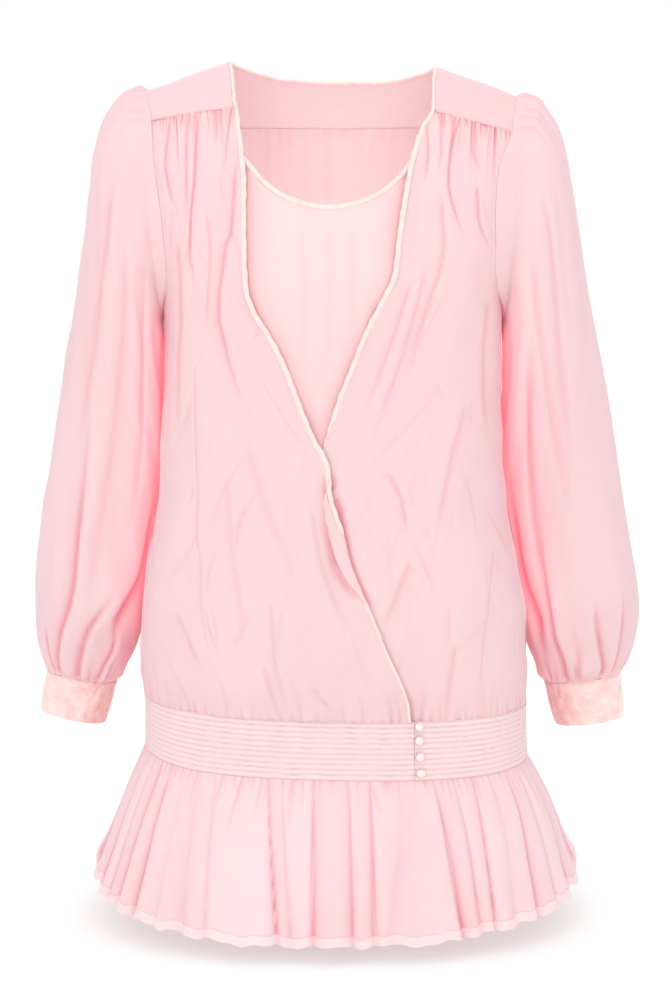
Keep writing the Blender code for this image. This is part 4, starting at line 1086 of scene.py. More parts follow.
def make_flap():
    """The lens-shaped stretch of the over front's edge that is turned back on itself."""
    part, heights = grid_of("flap", down=FLAP_BETWEEN)  # part is 0 beside the ribbon, 1 at the free edge
    ribbon = BINDING_WIDTH * ribbon_share(heights) * ease(-0.462, -0.445, heights)
    width = FLAP.read("width", heights) + 0.0004
    x = OVER_EDGE.read("x", heights) + 0.0006 - mix(np.minimum(ribbon, width), width, part)
    height = heights + 0 * part
    ripple = 0.0004 * np.sin(heights * 310) * part
    arch = 0.0013 * np.sin(math.pi * np.clip(part * 0.9 + 0.1, 0, 1)) ** 0.7
    lift = wrap_lift(x, height) + 0.0012 + arch + ripple
    points, normals = over_surface(x, height, lift)
    # painted shade along the turned-back strip's free edge and beside its ribbon
    shade = 0.30 * ease(0.80, 1.0, part) + 0.18 * ease(0.25, 0.0, part) + 0 * height
    piece = make_cloth("turned_back_edge", points, normals, shade)
    return dress(piece, "chiffon", "chiffon")


# ---------------------------------------------------------------- back, yoke, insert
BACK_CREASES = 9
BACK_CREASES_FROM = -0.13
BACK_CREASES_ACROSS = 0.26


def back_crease(rng, number):
    """A long soft crease, given as the front's are. Its number spreads it over the back's width."""
    top = rng.uniform(-0.34, -0.08)
    bottom = top - rng.uniform(0.12, 0.28)
    start = BACK_CREASES_FROM + BACK_CREASES_ACROSS * (number + rng.uniform(0, 1)) / BACK_CREASES
    points = [(start / MM, top / MM), ((start + rng.normal(0, 0.008)) / MM, (top + bottom) / 2 / MM),
              ((start + rng.normal(0, 0.014)) / MM, bottom / MM)]
    return rng.uniform(1.8, 3.2), rng.uniform(0.5, 1.0), rng.choice([-1, 1]), points


def make_back():
    rng = draws("back")
    u, v = grid_of("back", down=PANEL_DOWN)
    turn, height = back_places(u, v)
    base = body_point(turn, height)
    x = base[..., 0]
    normals = grid_normals(base, outward_from(base))
    relief = Relief(x.shape)
    down = np.maximum(0.0, BACK_SEAM - height)
    relief.add_gathers(rng, "back_yoke", x, down, x.min(), x.max())
    beside_neck = mix(0.25, 1.0, ease(0.085, 0.115, np.abs(x)))
    relief.height *= beside_neck
    relief.shade *= beside_neck
    arc = steps_along(base, 1)
    above_band = np.maximum(0.0, height - band_top(x))
    relief.add_gathers(rng, "back_band", arc, above_band, 0.0, float(arc[-1].max()))
    relief.add_creases([back_crease(rng, number) for number in range(BACK_CREASES)], x, height)
    relief.add_waves(rng, "back", x, height)
    free = ease(0.0, 0.03, u) * ease(0.0, 0.03, 1 - u)
    outer = base + normals * tucked_under(CLOTH_RISE + relief.height * relief_share(free), v)[..., None]
    outer[..., 1] += GAP / 2
    piece = make_cloth("back_cloth", outer, normals, relief.shade)
    return dress(piece, "back_chiffon_painted_lighter", "chiffon", "back")


YOKE_CORE = -0.30  # the yoke faces away from the body's axis at this height
YOKE_EDGE = 0.0012  # how far from the front seam the yoke's turned edge is thickest


def neck_line(u):
    last = len(NECK_BORDER.places) - 1
    return NECK_BORDER.read_row("x", u * last), NECK_BORDER.read_row("over", u * last)


def yoke_outer_line(u):
    """The yoke's armhole and back seam, left front corner to right front corner."""
    left, right = float(armhole_x(-1, BACK_SEAM)), float(armhole_x(1, BACK_SEAM))
    x = mix(left, right, np.clip((u - YOKE_TURN) / (1 - 2 * YOKE_TURN), 0, 1))
    over = over_at(x, BACK_SEAM)
    for side, corner, back_x, part in (
        (-1, LEFT_YOKE_CORNER, left, u / YOKE_TURN),
        (1, RIGHT_YOKE_CORNER, right, (1 - u) / YOKE_TURN),
    ):
        beside = mix(corner[1], float(over_at(back_x, BACK_SEAM)), np.clip(part, 0, 1))
        armhole = armhole_x(side, yoke_point(np.full_like(beside, back_x), beside)[..., 2])
        over = np.where(part <= 1, beside, over)
        x = np.where(part <= 1, armhole, x)
    return x, over


def make_yoke():
    u, v = grid_of("yoke")
    near_x, near_over = neck_line(u)
    far_x, far_over = yoke_outer_line(u)
    base = yoke_point(mix(near_x, far_x, v), mix(near_over, far_over, v))
    normals = grid_normals(base, outward_from(base, YOKE_CORE))
    x, y, height = (base[..., k] for k in range(3))
    relief = Relief(x.shape)
    relief.add_waves(draws("yoke"), "yoke", x, y)
    on_front = ease(0.0, -0.02, y)
    beside_seam = np.maximum(0.0, height - front_seam(x))
    relief.height += 0.0007 * on_front * bell((beside_seam - YOKE_EDGE) / YOKE_EDGE)
    outer = base + normals * (0.0004 + relief.height)[..., None]
    # painted shade: the yoke's front, which faces up to the lamps, is darkened all over, and more along its
    # front seam
    shade = 0.20 * on_front + 0.15 * on_front * bell(beside_seam / YOKE_EDGE)
    piece = make_cloth("yoke_cloth", outer, normals, shade)
    return dress(piece, "back_chiffon_painted_lighter", "chiffon", "yoke")


def scoop_height(x):
    """The insert's top border: a circle, running on straight at its ends."""
    across = np.abs(x - SCOOP_CENTRE[0])
    on_circle = np.minimum(across, SCOOP_ROUND)
    drop = np.sqrt(SCOOP_RADIUS**2 - on_circle**2)
    return SCOOP_CENTRE[1] - drop + (across - on_circle) * on_circle / drop


def insert_place(u, v):
    level = mix(INSERT_TOP, INSERT_BOTTOM, v)
    reach = BINDING_WIDTH + INSERT_OVERLAP
    left = OVER_EDGE.read("x", level) - reach
    right = UNDER_EDGE.read("x", level) + reach
    top_left = float(OVER_EDGE.read("x", INSERT_TOP)) - reach
    top_right = float(UNDER_EDGE.read("x", INSERT_TOP)) + reach
    return mix(left, right, u), mix(scoop_height(mix(top_left, top_right, u)), INSERT_BOTTOM, v)


INSERT_SHADE = 0.75  # how strong the painted shade on the insert gets beside the bindings
INSERT_CREASES = tuple(
    (5.0, depth, 0, ((top, -160), (top + 3, -230), (top - 2, -330)))
    for top, depth in ((-30, 0.5), (-5, 0.4), (18, 0.6), (38, 0.4))
)


def make_insert():
    u, v = grid_of("insert")
    x, height = insert_place(u, v)
    relief = Relief(x.shape)
    relief.add_waves(draws("insert"), "insert", x, height)
    relief.add_creases(INSERT_CREASES, x, height)
    points, normals = over_surface(x, height, relief.height - INSERT_SINK)
    beside = np.minimum(x - OVER_EDGE.read("x", height), UNDER_EDGE.read("x", height) - x)
    # painted shade beside the bindings, where shade falls between the layers
    near = np.exp(-np.maximum(0, beside) / 0.008)
    piece = make_cloth("insert_cloth", points, normals, np.maximum(relief.shade * 0.6, INSERT_SHADE * near))
    return dress(piece, "insert_chiffon", "insert_chiffon", "insert")


# ---------------------------------------------------------------- bindings
# a ribbon's outline: each point's place across it, 0 to 1, and its height
RIBBON = ((0.00, -0.0012), (0.02, 0.0002), (0.14, 0.0009), (0.35, 0.0012), (0.60, 0.0012), (0.85, 0.0009),
          (0.98, 0.0002), (1.00, -0.0012), (0.80, -0.0016), (0.20, -0.0016))


def resample(points, normals, spacing):
    """A path with even steps, its normals, and how far along it each point is."""
    lengths = np.concatenate([[0.0], np.cumsum(np.linalg.norm(np.diff(points, axis=0), axis=1))])
    places = np.linspace(0, lengths[-1], int(lengths[-1] / spacing))
    path = np.stack([np.interp(places, lengths, points[:, k]) for k in range(3)], axis=-1)
    turned = np.stack([np.interp(places, lengths, normals[:, k]) for k in range(3)], axis=-1)
    return path, unit(turned), places


def ribbon_share(height):
    """How much of a front's strip shows: less of it beside the yoke, and where the over front rolls in."""
    return mix(0.62, 1.0, ease(-0.020, -0.110, height)) * mix(1.0, 0.62, ease(-0.420, -0.530, height))


RIBBON_STEP = 0.0022
RIBBON_RATES = (60, 130, 240, 410)  # of the waves that make a ribbon's width uneven
UNDER_RIBBON_END = -0.480  # the under front's strip ends here, hidden by the over front


def make_ribbon(name, points, normals, inward, node, rng, width_of=None):
    path, normals, places = resample(points, normals, RIBBON_STEP)
    across = unit(np.cross(normals, np.gradient(path, axis=0)) * inward)
    uneven = sum(rng.normal(0, 1) * np.sin(places * rate + rng.uniform(0, 6)) for rate in RIBBON_RATES)
    width = BINDING_WIDTH * (1 + 0.035 * uneven) * (width_of(path) if width_of else 1.0)
    sideways = across * (GAP + 0.00018 * uneven)[:, None]
    path = path + sideways + normals * (0.0002 * np.sin(places * 190))[:, None]
    piece = make_strip(name, path, normals, across, width, RIBBON)
    return dress(piece, "binding_satin", "binding_satin", node)


def over_ribbon(count, top, bottom):
    """The over front's strip. It sinks where the turned-back edge hides it."""
    height = spaced(count, top, bottom)
    x = OVER_EDGE.read("x", height) - BINDING_WIDTH * ribbon_share(height)
    hidden = ease(-0.450, -0.462, height) * ease(-0.522, -0.514, height)
    return over_surface(x, height, wrap_lift(x, height) + mix(0.0010, -0.0012, hidden))


def under_ribbon(count, top, bottom):
    """The under front's strip. It sinks where the over front covers it."""
    height = spaced(count, top, bottom)
    x = UNDER_EDGE.read("x", height) + BINDING_WIDTH
    return over_surface(x, height, 0.0008 + 0 * x - 0.0022 * ease(-0.33, -0.37, height))


def neck_ribbon(count):
    """The yoke's neck border, left to right round the back. Its ends are left to the fronts' strips."""
    x, over = neck_line(spaced(count))
    points = yoke_point(x, over)
    along = yoke_point(x + STEP, over) - yoke_point(x - STEP, over)
    upwards = yoke_point(x, over + STEP) - yoke_point(x, over - STEP)
    normals = facing(unit(np.cross(along, upwards)), outward_from(points, YOKE_CORE))
    return points[3:-3], normals[3:-3]


def make_bindings():
    rng = draws("bindings")
    left_top, right_top = (float(front_seam(NECK_BORDER.columns["x"][end])) - 0.002 for end in (0, -1))
    over, over_normals = over_ribbon(260, left_top, BAND_TOP - 0.001)
    neck, neck_normals = neck_ribbon(240)
    under, under_normals = under_ribbon(220, right_top, UNDER_RIBBON_END)
    points = np.concatenate([over[::-1], neck, under])
    normals = np.concatenate([over_normals[::-1], neck_normals, under_normals])

    def narrowing(path):
        return ribbon_share(path[:, 2])

    make_ribbon("edge_binding", points, normals, -1, "neck_binding", rng, width_of=narrowing)
    x, height = insert_place(spaced(120), np.zeros(120))
    scoop, scoop_normals = over_surface(x, height, np.full(120, -INSERT_SINK + 0.0003))
    make_ribbon("scoop_binding", scoop, scoop_normals, 1, "insert_binding", rng)


# ---------------------------------------------------------------- sleeves and cuffs
def across_angle(across):
    """The front angle of a place across a sleeve, from 1 at the outer line to -1 at the inner one."""
    return np.arccos(signed_power(np.asarray(across, float), SLEEVE_POWER / 2))


FULL_TURN = 2 * math.pi
LAST_ROW = len(SLEEVE_DEPTHS)
# the grid's rows: closer together at the head and above the cuff
SLEEVE_ROWS = ((61, 0.0, 3.0), (71, 3.0, 13.0), (71, 13.0, LAST_ROW))
HEAD_GATHERS_REACH = 0.16  # to both sides of the shoulder
SHARE_BEHIND = 0.7  # each fold repeats on the sleeve's back, this strong and turned by this much
SHIFT_BEHIND = 0.15


def tube_normals(points):
    """Normals of a tube's grid of points, away from its middle."""
    middle = points[:, :-1].mean(axis=1, keepdims=True)
    return grid_normals(points, points - middle, closed=True)


def add_sleeve_folds(relief, folds, angle, row, radius):
    for width, depth, lean, dark, points in folds:
        rows = [point[0] for point in points]
        angles = across_angle([point[1] for point in points])
        along = (row - rows[0]) / (rows[-1] - rows[0])
        fade = ease(0.0, 0.35, along) * (1 - ease(0.70, 1.0, along) * (rows[-1] < LAST_ROW))
        place = smooth_read(rows, angles, row)
        relief.fold((angle - place) * radius, width * MM, depth * MM, fade, lean, dark)
        behind = (angle - (FULL_TURN - place + SHIFT_BEHIND)) * radius
        relief.fold(behind, width * MM, depth * MM * SHARE_BEHIND, fade, -lean, dark * SHARE_BEHIND)


def add_head_gathers(relief, rng, angle, row, radius, down):
    """The gathers at the sleeve's head. Returns 1 on the sleeve's upper part, 0 on its underside."""
    turned = np.abs((angle + math.pi) % FULL_TURN - math.pi)
    upper = 1 - ease(0.65, 1.25, turned)
    half_round = np.where(angle <= math.pi, angle, angle - FULL_TURN) * radius
    head = Relief(relief.height.shape)
    head.add_gathers(rng, "sleeve_head", half_round, down, -HEAD_GATHERS_REACH, HEAD_GATHERS_REACH)
    relief.height += head.height * upper / np.maximum(0.3, ease(0.0, 1.2, row))
    relief.shade = np.maximum(relief.shade, head.shade * upper)
    return upper


def make_sleeve(name, table, side, folds):
    rng = draws(name)
    angle = spaced(241, 0.0, FULL_TURN)[None, :]
    row = np.concatenate([spaced(*stretch)[:-1] for stretch in SLEEVE_ROWS] + [[LAST_ROW]])[:, None]
    base = sleeve_points(table, side, angle, row)
    normals = tube_normals(base)
    relief = Relief(base.shape[:2])
    radius = steps_along(base, 1)[:, -1:] / FULL_TURN
    down = steps_along(base, 0)
    up = down[-1:] - down
    add_sleeve_folds(relief, folds, angle, row, radius)
    upper = add_head_gathers(relief, rng, angle, row, radius, down)
    cuff_radius = float(radius[-1, 0])
    for seam in ("cuff_long", "cuff_short"):
        relief.add_gathers(rng, seam, angle * cuff_radius, up, 0.002, FULL_TURN * cuff_radius - 0.002)
    relief.add_waves(rng, "sleeve", angle * radius, down)
    ends = ease(0.0, 1.2, row) * relief_share(ease(0.0, 0.009, up))
    wrap = ease(0.0, 0.12, angle) * ease(0.0, 0.12, FULL_TURN - angle)
    puff = 0.0012 * bell((row - 0.8) / 0.6) * upper
    outer = base + normals * (0.0005 + puff + relief.height * ends * (0.1 + 0.9 * wrap))[..., None]
    outer[:, -1] = outer[:, 0]
    # the side towards the body: painted shade, and a painted glow that stands in for the light that comes
    # through the cloth
    painted_inner_shade = bell((angle - math.pi) / 0.62) * ease(2.0, 6.0, row) * (1 - ease(15.5, 18.0, row))
    shade = np.maximum(relief.shade * ends, 0.55 * painted_inner_shade)
    glow = bell((angle - math.pi) / 0.72) * ease(1.0, 4.0, row) * (1 - 0.7 * ease(12.5, 15.5, row))
    piece = make_cloth(name + "_cloth", outer, normals, shade, closed=True, glow=glow)
    return dress(piece, "chiffon", "chiffon", name + "_front", name + "_back")


CUFF_CRUMPLES = 40
CUFF_THICK = 0.0016


def add_crumple(relief, rng, around, down):
    """A short crease anywhere on a cuff, in any direction."""
    centre = rng.uniform(0, FULL_TURN * CUFF_RADIUS)
    level = rng.uniform(0.003, 0.039)
    tilt = rng.uniform(-1.2, 1.2)
    reach = rng.uniform(0.004, 0.011)
    gap = np.abs(around - centre)
    gap = np.minimum(gap, FULL_TURN * CUFF_RADIUS - gap) * np.sign(around - centre)
    across = gap * math.cos(tilt) + (down - level) * math.sin(tilt)
    beyond = -gap * math.sin(tilt) + (down - level) * math.cos(tilt)
    width, depth = rng.uniform(0.0010, 0.0024), rng.uniform(0.0005, 0.0012)
    relief.fold(across, width, depth, bell(beyond / reach), rng.choice([-1.0, 1.0]), 0.3)


def make_cuff(name, table, side):
    rng = draws(name)
    angle, part = grid_of(name, across=(0.0, FULL_TURN))
    base = table_ring(table, side, part, angle, centre_y=CUFF_CENTRE_Y)
    normals = tube_normals(base)
    relief = Relief(base.shape[:2])
    for _ in range(CUFF_CRUMPLES):
        add_crumple(relief, rng, angle * CUFF_RADIUS, part * CUFF_HEIGHT + 0 * angle)
    swell = 0.0008 * np.sin(math.pi * part)
    free = ease(0.0, 0.06, part) * ease(0.0, 0.06, 1 - part)
    outer = base + normals * (0.0004 + swell + relief.height * (0.2 + 0.8 * free))[..., None]
    outer[:, -1] = outer[:, 0]
    # painted shade on the side of the cuff that faces the body, and in its crumples
    painted_shade_toward_body = bell((angle - math.pi) / 1.15) + 0 * part
    shade = np.clip(0.8 * relief.shade + 0.85 * painted_shade_toward_body, 0, 1)
    piece = make_cloth(name + "_cloth", outer, normals, shade, thickness=CUFF_THICK, closed=True)
    return dress(piece, "cuff_satin", "cuff_satin", name)


# ---------------------------------------------------------------- hip band, buttons, ruffle
# the rows of a tuck, from its fold down to its sewn edge: place in the tuck, and how far it stands out
TUCK_ROWS = (
    (0.02, 0.10), (0.10, 0.50), (0.26, 0.85), (0.46, 1.00),
    (0.66, 1.00), (0.80, 0.88), (0.91, 0.55), (0.98, 0.12),
)
TUCK_RISE = 0.0012
# the band's first and last tuck are fuller than the others, and their painted shade at their sewn edges is
# lighter
OUTER_TUCK, INNER_TUCK, MEAN_TUCK = 0.0018, 0.0012, 0.0014
OUTER_DARK, INNER_DARK = 0.26, 0.40
BAND_END_ROW = (0.3, 0.4)  # how far the band's own edges stand out, and how dark their painted shade is
BAND_WAVES = 16
BAND_THICK = 0.0012


def tuck_rows():
    """The band's rows: place from its top to its bottom, how far each stands out, and how dark its
    painted shade is.
    """
    rows = [(0.0, *BAND_END_ROW)]
    for tuck in range(TUCKS):
        outermost = tuck in (0, TUCKS - 1)
        size, darkest = (OUTER_TUCK, OUTER_DARK) if outermost else (INNER_TUCK, INNER_DARK)
        for place, rise in TUCK_ROWS:
            rows.append(((tuck + place) / TUCKS, rise * size / MEAN_TUCK, (1 - rise) ** 1.5 * darkest))
    rows.append((1.0, *BAND_END_ROW))
    # a shell's inner side has every second row, so that their number has to be odd
    middle = len(rows) // 2
    rows.insert(middle, tuple((above + below) / 2 for above, below in zip(rows[middle - 1], rows[middle])))
    return np.array(rows).T[:, :, None]


def seam_shift(start, end):
    """How far a piece moves in y, so that front and back keep a gap between them at the side seams."""
    return math.copysign(GAP / 2, -math.cos((start + end) / 2))


def make_band(name, start, end, columns):
    """Stitched tucks: each rises out and drops in at its sewn lower edge, along an uneven line."""
    rng = draws(name)
    turn = spaced(columns, start, end)[None, :]
    share, proud, dark = tuck_rows()
    wander = np.zeros(np.broadcast(share, turn).shape)
    size = np.zeros_like(wander)
    for _ in range(BAND_WAVES):
        rate, phase = rng.uniform(8, 70), rng.uniform(0, 6)
        level, reach = rng.uniform(0, 1), rng.uniform(0.06, 0.25)
        near = bell((share - level) / reach)
        wander += 0.0032 * near * np.sin(rate * turn + phase)
        size += 0.18 * near * np.sin(1.3 * rate * turn + 2 * phase)
    inside = ease(0.0, 0.05, share) * ease(0.0, 0.05, 1 - share)
    place = share + wander * inside * 0.75
    height = mix(BAND_TOP, BAND_BOTTOM, place)
    x = body_point(turn + 0 * height, height)[..., 0]
    base = body_point(turn, mix(band_top(x), band_bottom(x), place))
    level_base = body_point(turn, mix(BAND_TOP, BAND_BOTTOM, share))
    normals = grid_normals(level_base, outward_from(base))
    rise = TUCK_RISE * proud * (1 + size) * mix(0.35, 1.0, np.abs(np.cos(turn)) ** 0.7)
    outer = base + normals * (0.0003 + rise)[..., None]
    outer[..., 1] += seam_shift(start, end)
    # painted shade where each tuck drops in at its sewn edge
    piece = make_cloth(name + "_cloth", outer, normals, dark * (1 + 0.5 * size), thickness=BAND_THICK)
    return dress(piece, "band_chiffon", "band_chiffon", name)


RUFFLE_DEPTH = 0.0080  # of its folds at the hem
RUFFLE_THICK = 0.0007
RUFFLE_RADII = (0.155, 0.215)  # at the band and at the hem
RUFFLE_MEAN_RADIUS = 0.16
FULL_FOLD = math.radians(10)  # folds narrower than this stand out less
SIDE_HOLD = 0.65  # the side seams hold the ruffle in over this turn, in radians


def ruffle_relief(relief, turn, part, lines):
    """Broad soft folds between the lines of a table, which spread from the band to the hem."""
    spread = part**0.9
    growth = RUFFLE_DEPTH * (0.14 + 0.86 * spread)
    courses = [mix(math.radians(top), math.radians(hem), spread) for top, hem, _, _ in lines]
    for left, right in zip(courses, courses[1:]):
        gap = right - left
        place = (turn - left) / gap
        inside = (place >= 0) & (place < 1)
        swell = np.sin(math.pi * np.clip(place, 0, 1)) ** 0.8
        relief.height += np.where(inside, growth * 0.60 * swell * np.minimum(1.0, gap / FULL_FOLD), 0)
    for course, (_, _, deep, side) in zip(courses, lines):
        width = mix(0.0010, 0.0022, part) * (2.0 if side == 0 else 1.0)
        place = (turn - course) * mix(*RUFFLE_RADII, part) / width
        relief.height -= growth * 0.55 * deep * np.exp(-np.abs(place) ** 1.6 / 2)
        # painted shadow beside each fold line, on the side that the table gives
        beside = np.exp(-np.abs(place) / 6.5) * 0.42
        if side != 0:
            beside = np.where(place * side > 0, beside, 0.55 * bell(place / 0.6)) + 0.60 * bell(place / 0.8)
        relief.shade = np.maximum(relief.shade, min(1.0, deep * 0.85) * beside * (0.65 + 0.35 * part))


def hem_steps(turn, part, lines):
    """Towards the sides each fold hangs higher than the one before it, which shows as steps in the hem."""
    degrees = np.degrees(turn)
    hem = np.array([degrees.min()] + [line[1] for line in lines] + [degrees.max()])
    fold = np.clip(np.searchsorted(hem, degrees) - 1, 0, len(hem) - 2)
    centre = (hem[fold] + hem[fold + 1]) / 2
    at_seam = (fold == 0) | (fold == len(hem) - 2)
    to_side = np.where(at_seam, 0.0, np.abs(np.abs((centre + 180) % 360 - 180) - 90))
    across = np.clip((degrees - hem[fold]) / (hem[fold + 1] - hem[fold]), 0, 1)
    outwards = np.where(np.cos(np.radians(degrees)) * np.sin(np.radians(degrees)) > 0, across, 1 - across)
    corner = 0.0030 * (outwards - 0.5) * ease(40.0, 25.0, to_side) * ~at_seam
    rise = 0.0200 * bell(to_side / 11.0) + 0.0040 * bell(to_side / 30.0)
    return part**2.5 * (rise - corner)


def make_ruffle(name, start, end, lines):
    turn, part = grid_of(name, across=(start, end))
    base = ruffle_points(turn, part)
    normals = grid_normals(base, outward_from(base))
    level = unit(outward_from(normals))
    relief = Relief(base.shape[:2])
    ruffle_relief(relief, turn, part, lines)
    down = steps_along(base, 0)
    arc = (turn - start) * RUFFLE_MEAN_RADIUS
    last = (end - start) * RUFFLE_MEAN_RADIUS - 0.003
    rng = draws(name)
    relief.add_gathers(rng, "ruffle", arc + 0 * part, down, 0.003, last)
    relief.add_waves(rng, "ruffle", arc, down)
    seam = mix(0.25, 1.0, ease(0.0, SIDE_HOLD, turn - start) * ease(0.0, SIDE_HOLD, end - turn))
    hem = down[-1:] - down
    turned_hem = 0.0003 * (1 - ease(HEM_DEPTH - 0.0002, HEM_DEPTH + 0.0008, hem))
    push = relief.height * seam * ease(-0.05, 0.16, part) + turned_hem + 0.0004
    outer = base + level * push[..., None]
    outer[..., 2] += part**2 * (0.0012 * np.sin(31 * turn + 2) + 0.0008 * np.sin(67 * turn))
    outer[..., 2] += hem_steps(turn, part, lines)
    outer[..., 1] += seam_shift(start, end)
    piece = make_cloth(name + "_cloth", outer, normals, relief.shade, thickness=RUFFLE_THICK, hem=hem)
    return dress(piece, "ruffle_chiffon", "chiffon", name)


BACK_LINES_BETWEEN = (93, 267)  # the first and last fold line of the back, in degrees


def back_lines():
    """Fold lines for the hidden back, as uneven as those of the front."""
    rng = draws("back_lines")
    first, last = BACK_LINES_BETWEEN
    lines, turn = [], first + 2.0
    while turn < last - 1:
        lines.append((turn, turn + rng.normal(0, 2.0), rng.uniform(0.5, 1.4), rng.choice([-1, 0, 1])))
        turn += rng.uniform(5.5, 12.5)
    return [(first, first, 0.7, -1)] + lines[1:] + [(last, last, 0.7, 1)]


BUTTON_HALF_THICK = 0.0023
BUTTON_SEAT = 0.0026  # how high a button's middle stands over what it is sewn to
BUTTON_RISE = 0.0013
TOP_BUTTON_RISE = 0.0020  # the topmost also stands over the binding's end
BUTTON_PLEATS = 11


def make_button(name, x, height, rise):
    """A covered button: a flattened ball, faintly pleated towards its back."""
    points, normals = over_surface(np.array([x]), np.array([height]), np.array([0.0]))
    normal = Vector(normals[0])
    bpy.ops.mesh.primitive_uv_sphere_add(segments=40, ring_count=24, radius=BUTTON_RADIUS)
    made = bpy.context.active_object
    made.name = name + "_cover"
    values = np.zeros(len(made.data.vertices) * 3)
    made.data.vertices.foreach_get("co", values)
    shape = values.reshape(-1, 3)
    angle, level = np.arctan2(shape[:, 1], shape[:, 0]), shape[:, 2] / BUTTON_RADIUS
    pleats = 1 + 0.018 * np.sin(BUTTON_PLEATS * angle + 3 * level) * (1 - level**2)
    shape[:, :2] *= pleats[:, None]
    shape[:, 2] *= BUTTON_HALF_THICK / BUTTON_RADIUS
    made.data.vertices.foreach_set("co", shape.ravel())
    made.data.shade_smooth()
    made.rotation_mode = "QUATERNION"
    made.rotation_quaternion = normal.to_track_quat("Z", "Y")
    made.location = Vector(points[0]) + normal * (rise + BUTTON_SEAT)
    bpy.context.view_layer.update()
    return dress(made, "button_satin", "button_satin", name)


LOOP_OPENING = math.radians(40)  # the loop's ring is open by this much to each side of the edge
LOOP_END = (0.0078, 0.0012)  # where its ends go into the edge, left of the button and above or below it
LOOP_LIFTS = (0.0012, 0.0024)  # over the cloth, at the ends and round the button
THREAD_RADIUS = 0.00042


def make_loop(name, x, height):
    """The thread loop that holds a button, sewn into the edge of the band's opening."""
    angles = spaced(41, LOOP_OPENING - math.pi, math.pi - LOOP_OPENING)
    reach = BUTTON_RADIUS + 0.0007
    xs = np.concatenate([[x - LOOP_END[0]], x + reach * np.cos(angles), [x - LOOP_END[0]]])
    zs = np.concatenate([[height - LOOP_END[1]], height + reach * np.sin(angles), [height + LOOP_END[1]]])
    lift = np.concatenate([LOOP_LIFTS[:1], np.full(len(angles), LOOP_LIFTS[1]), LOOP_LIFTS[:1]])
    points, _ = over_surface(xs, zs, lift)
    data = bpy.data.curves.new(name, "CURVE")
    data.dimensions = "3D"
    data.bevel_depth = THREAD_RADIUS
    data.bevel_resolution = 2
    data.use_fill_caps = True
    spline = data.splines.new("POLY")
    spline.points.add(len(points) - 1)
    for place, point in zip(spline.points, points):
        place.co = (*point, 1.0)
    return dress(make_object(name, data), "binding_satin", "button_satin")


def make_buttons():
    for number, (x, height) in enumerate(BUTTONS, 1):
        make_button(f"button_{number}", x, height, TOP_BUTTON_RISE if number == 1 else BUTTON_RISE)
        make_loop(f"button_loop_{number}", x, height)


# ---------------------------------------------------------------- sewing
STITCH_STEP = 0.0026
BAND_STITCH_STEP = 0.0030
STITCH_LENGTH = 0.0015
STITCH_WIDTH = 0.0006
STITCHES_ABOVE = 0.0012  # how far above a seam the yoke is stitched
STITCHES_BELOW = 0.0006  # how far below the band's top the band is stitched
YOKE_STITCH_LIFTS = (0.0011, 0.0008)  # of the rows over the cloth, in front and behind
BAND_STITCH_LIFT = 0.0013
CUFF_STITCH_LIFT = 0.0011
CUFF_STITCH_ROW = 0.04  # how far down a cuff, as a share of its height


def make_stitches(name, points, normals, spacing=STITCH_STEP):
    """A row of raised stitches along a path, as one mesh: each has four corners, a top and a bottom."""
    path, normals, _ = resample(points, normals, spacing)
    along = unit(np.gradient(path, axis=0))
    across = np.cross(normals, along) * STITCH_WIDTH / 2
    along = along * STITCH_LENGTH / 2
    upwards = normals * STITCH_WIDTH / 2
    vertices = np.stack([path + tip for tip in (along, across, -along, -across, upwards, -upwards)], axis=1)
    faces = [(k, (k + 1) % 4, 4) for k in range(4)] + [((k + 1) % 4, k, 5) for k in range(4)]
    numbers = vertices.shape[1] * np.arange(len(path))[:, None, None] + np.array(faces)[None]
    mesh = bpy.data.meshes.new(name)
    mesh.from_pydata(vertices.reshape(-1, 3).tolist(), [], numbers.reshape(-1, 3).tolist())
    return dress(make_object(name, mesh), "stitches", "chiffon")


def make_sewing():
    """The rows of stitches at the yoke's seams, the top of the hip band and the tops of the cuffs."""
    border = NECK_BORDER.columns["x"]
    front_lift, back_lift = YOKE_STITCH_LIFTS
    left_seam, right_seam = (LEFT_YOKE_CORNER[0], border[0]), (border[-1], RIGHT_YOKE_CORNER[0])
    for side, (start, end) in (("left", left_seam), ("right", right_seam)):
        x = spaced(60, start + math.copysign(0.001, -start), end)
        points, normals = over_surface(x, front_seam(x) + STITCHES_ABOVE, front_lift + 0 * x)
        make_stitches("yoke_stitches_" + side, points, normals)
    x = spaced(120, float(armhole_x(-1, BACK_SEAM)), float(armhole_x(1, BACK_SEAM)))
    points = yoke_point(x, over_at(x, BACK_SEAM + STITCHES_ABOVE)) + np.array([0.0, back_lift, 0.0])
    make_stitches("yoke_stitches_back", points, np.tile([0.0, 1.0, 0.0], (len(x), 1)))
    turn = spaced(400, 0.0, FULL_TURN)
    points = body_point(turn, np.full(turn.shape, BAND_TOP))
    points = body_point(turn, band_top(points[:, 0]) - STITCHES_BELOW)
    normals = unit(outward_from(points))
    make_stitches("band_stitches", points + normals * BAND_STITCH_LIFT, normals, BAND_STITCH_STEP)
    for side_name, table, side in (("left", LEFT_CUFF, -1), ("right", RIGHT_CUFF, 1)):
        angle = spaced(200, 0.0, FULL_TURN)
        ring = table_ring(table, side, np.full(200, CUFF_STITCH_ROW), angle, centre_y=CUFF_CENTRE_Y)
        away = unit(ring - ring[:-1].mean(axis=0))
        make_stitches("cuff_stitches_" + side_name, ring + away * CUFF_STITCH_LIFT, away)


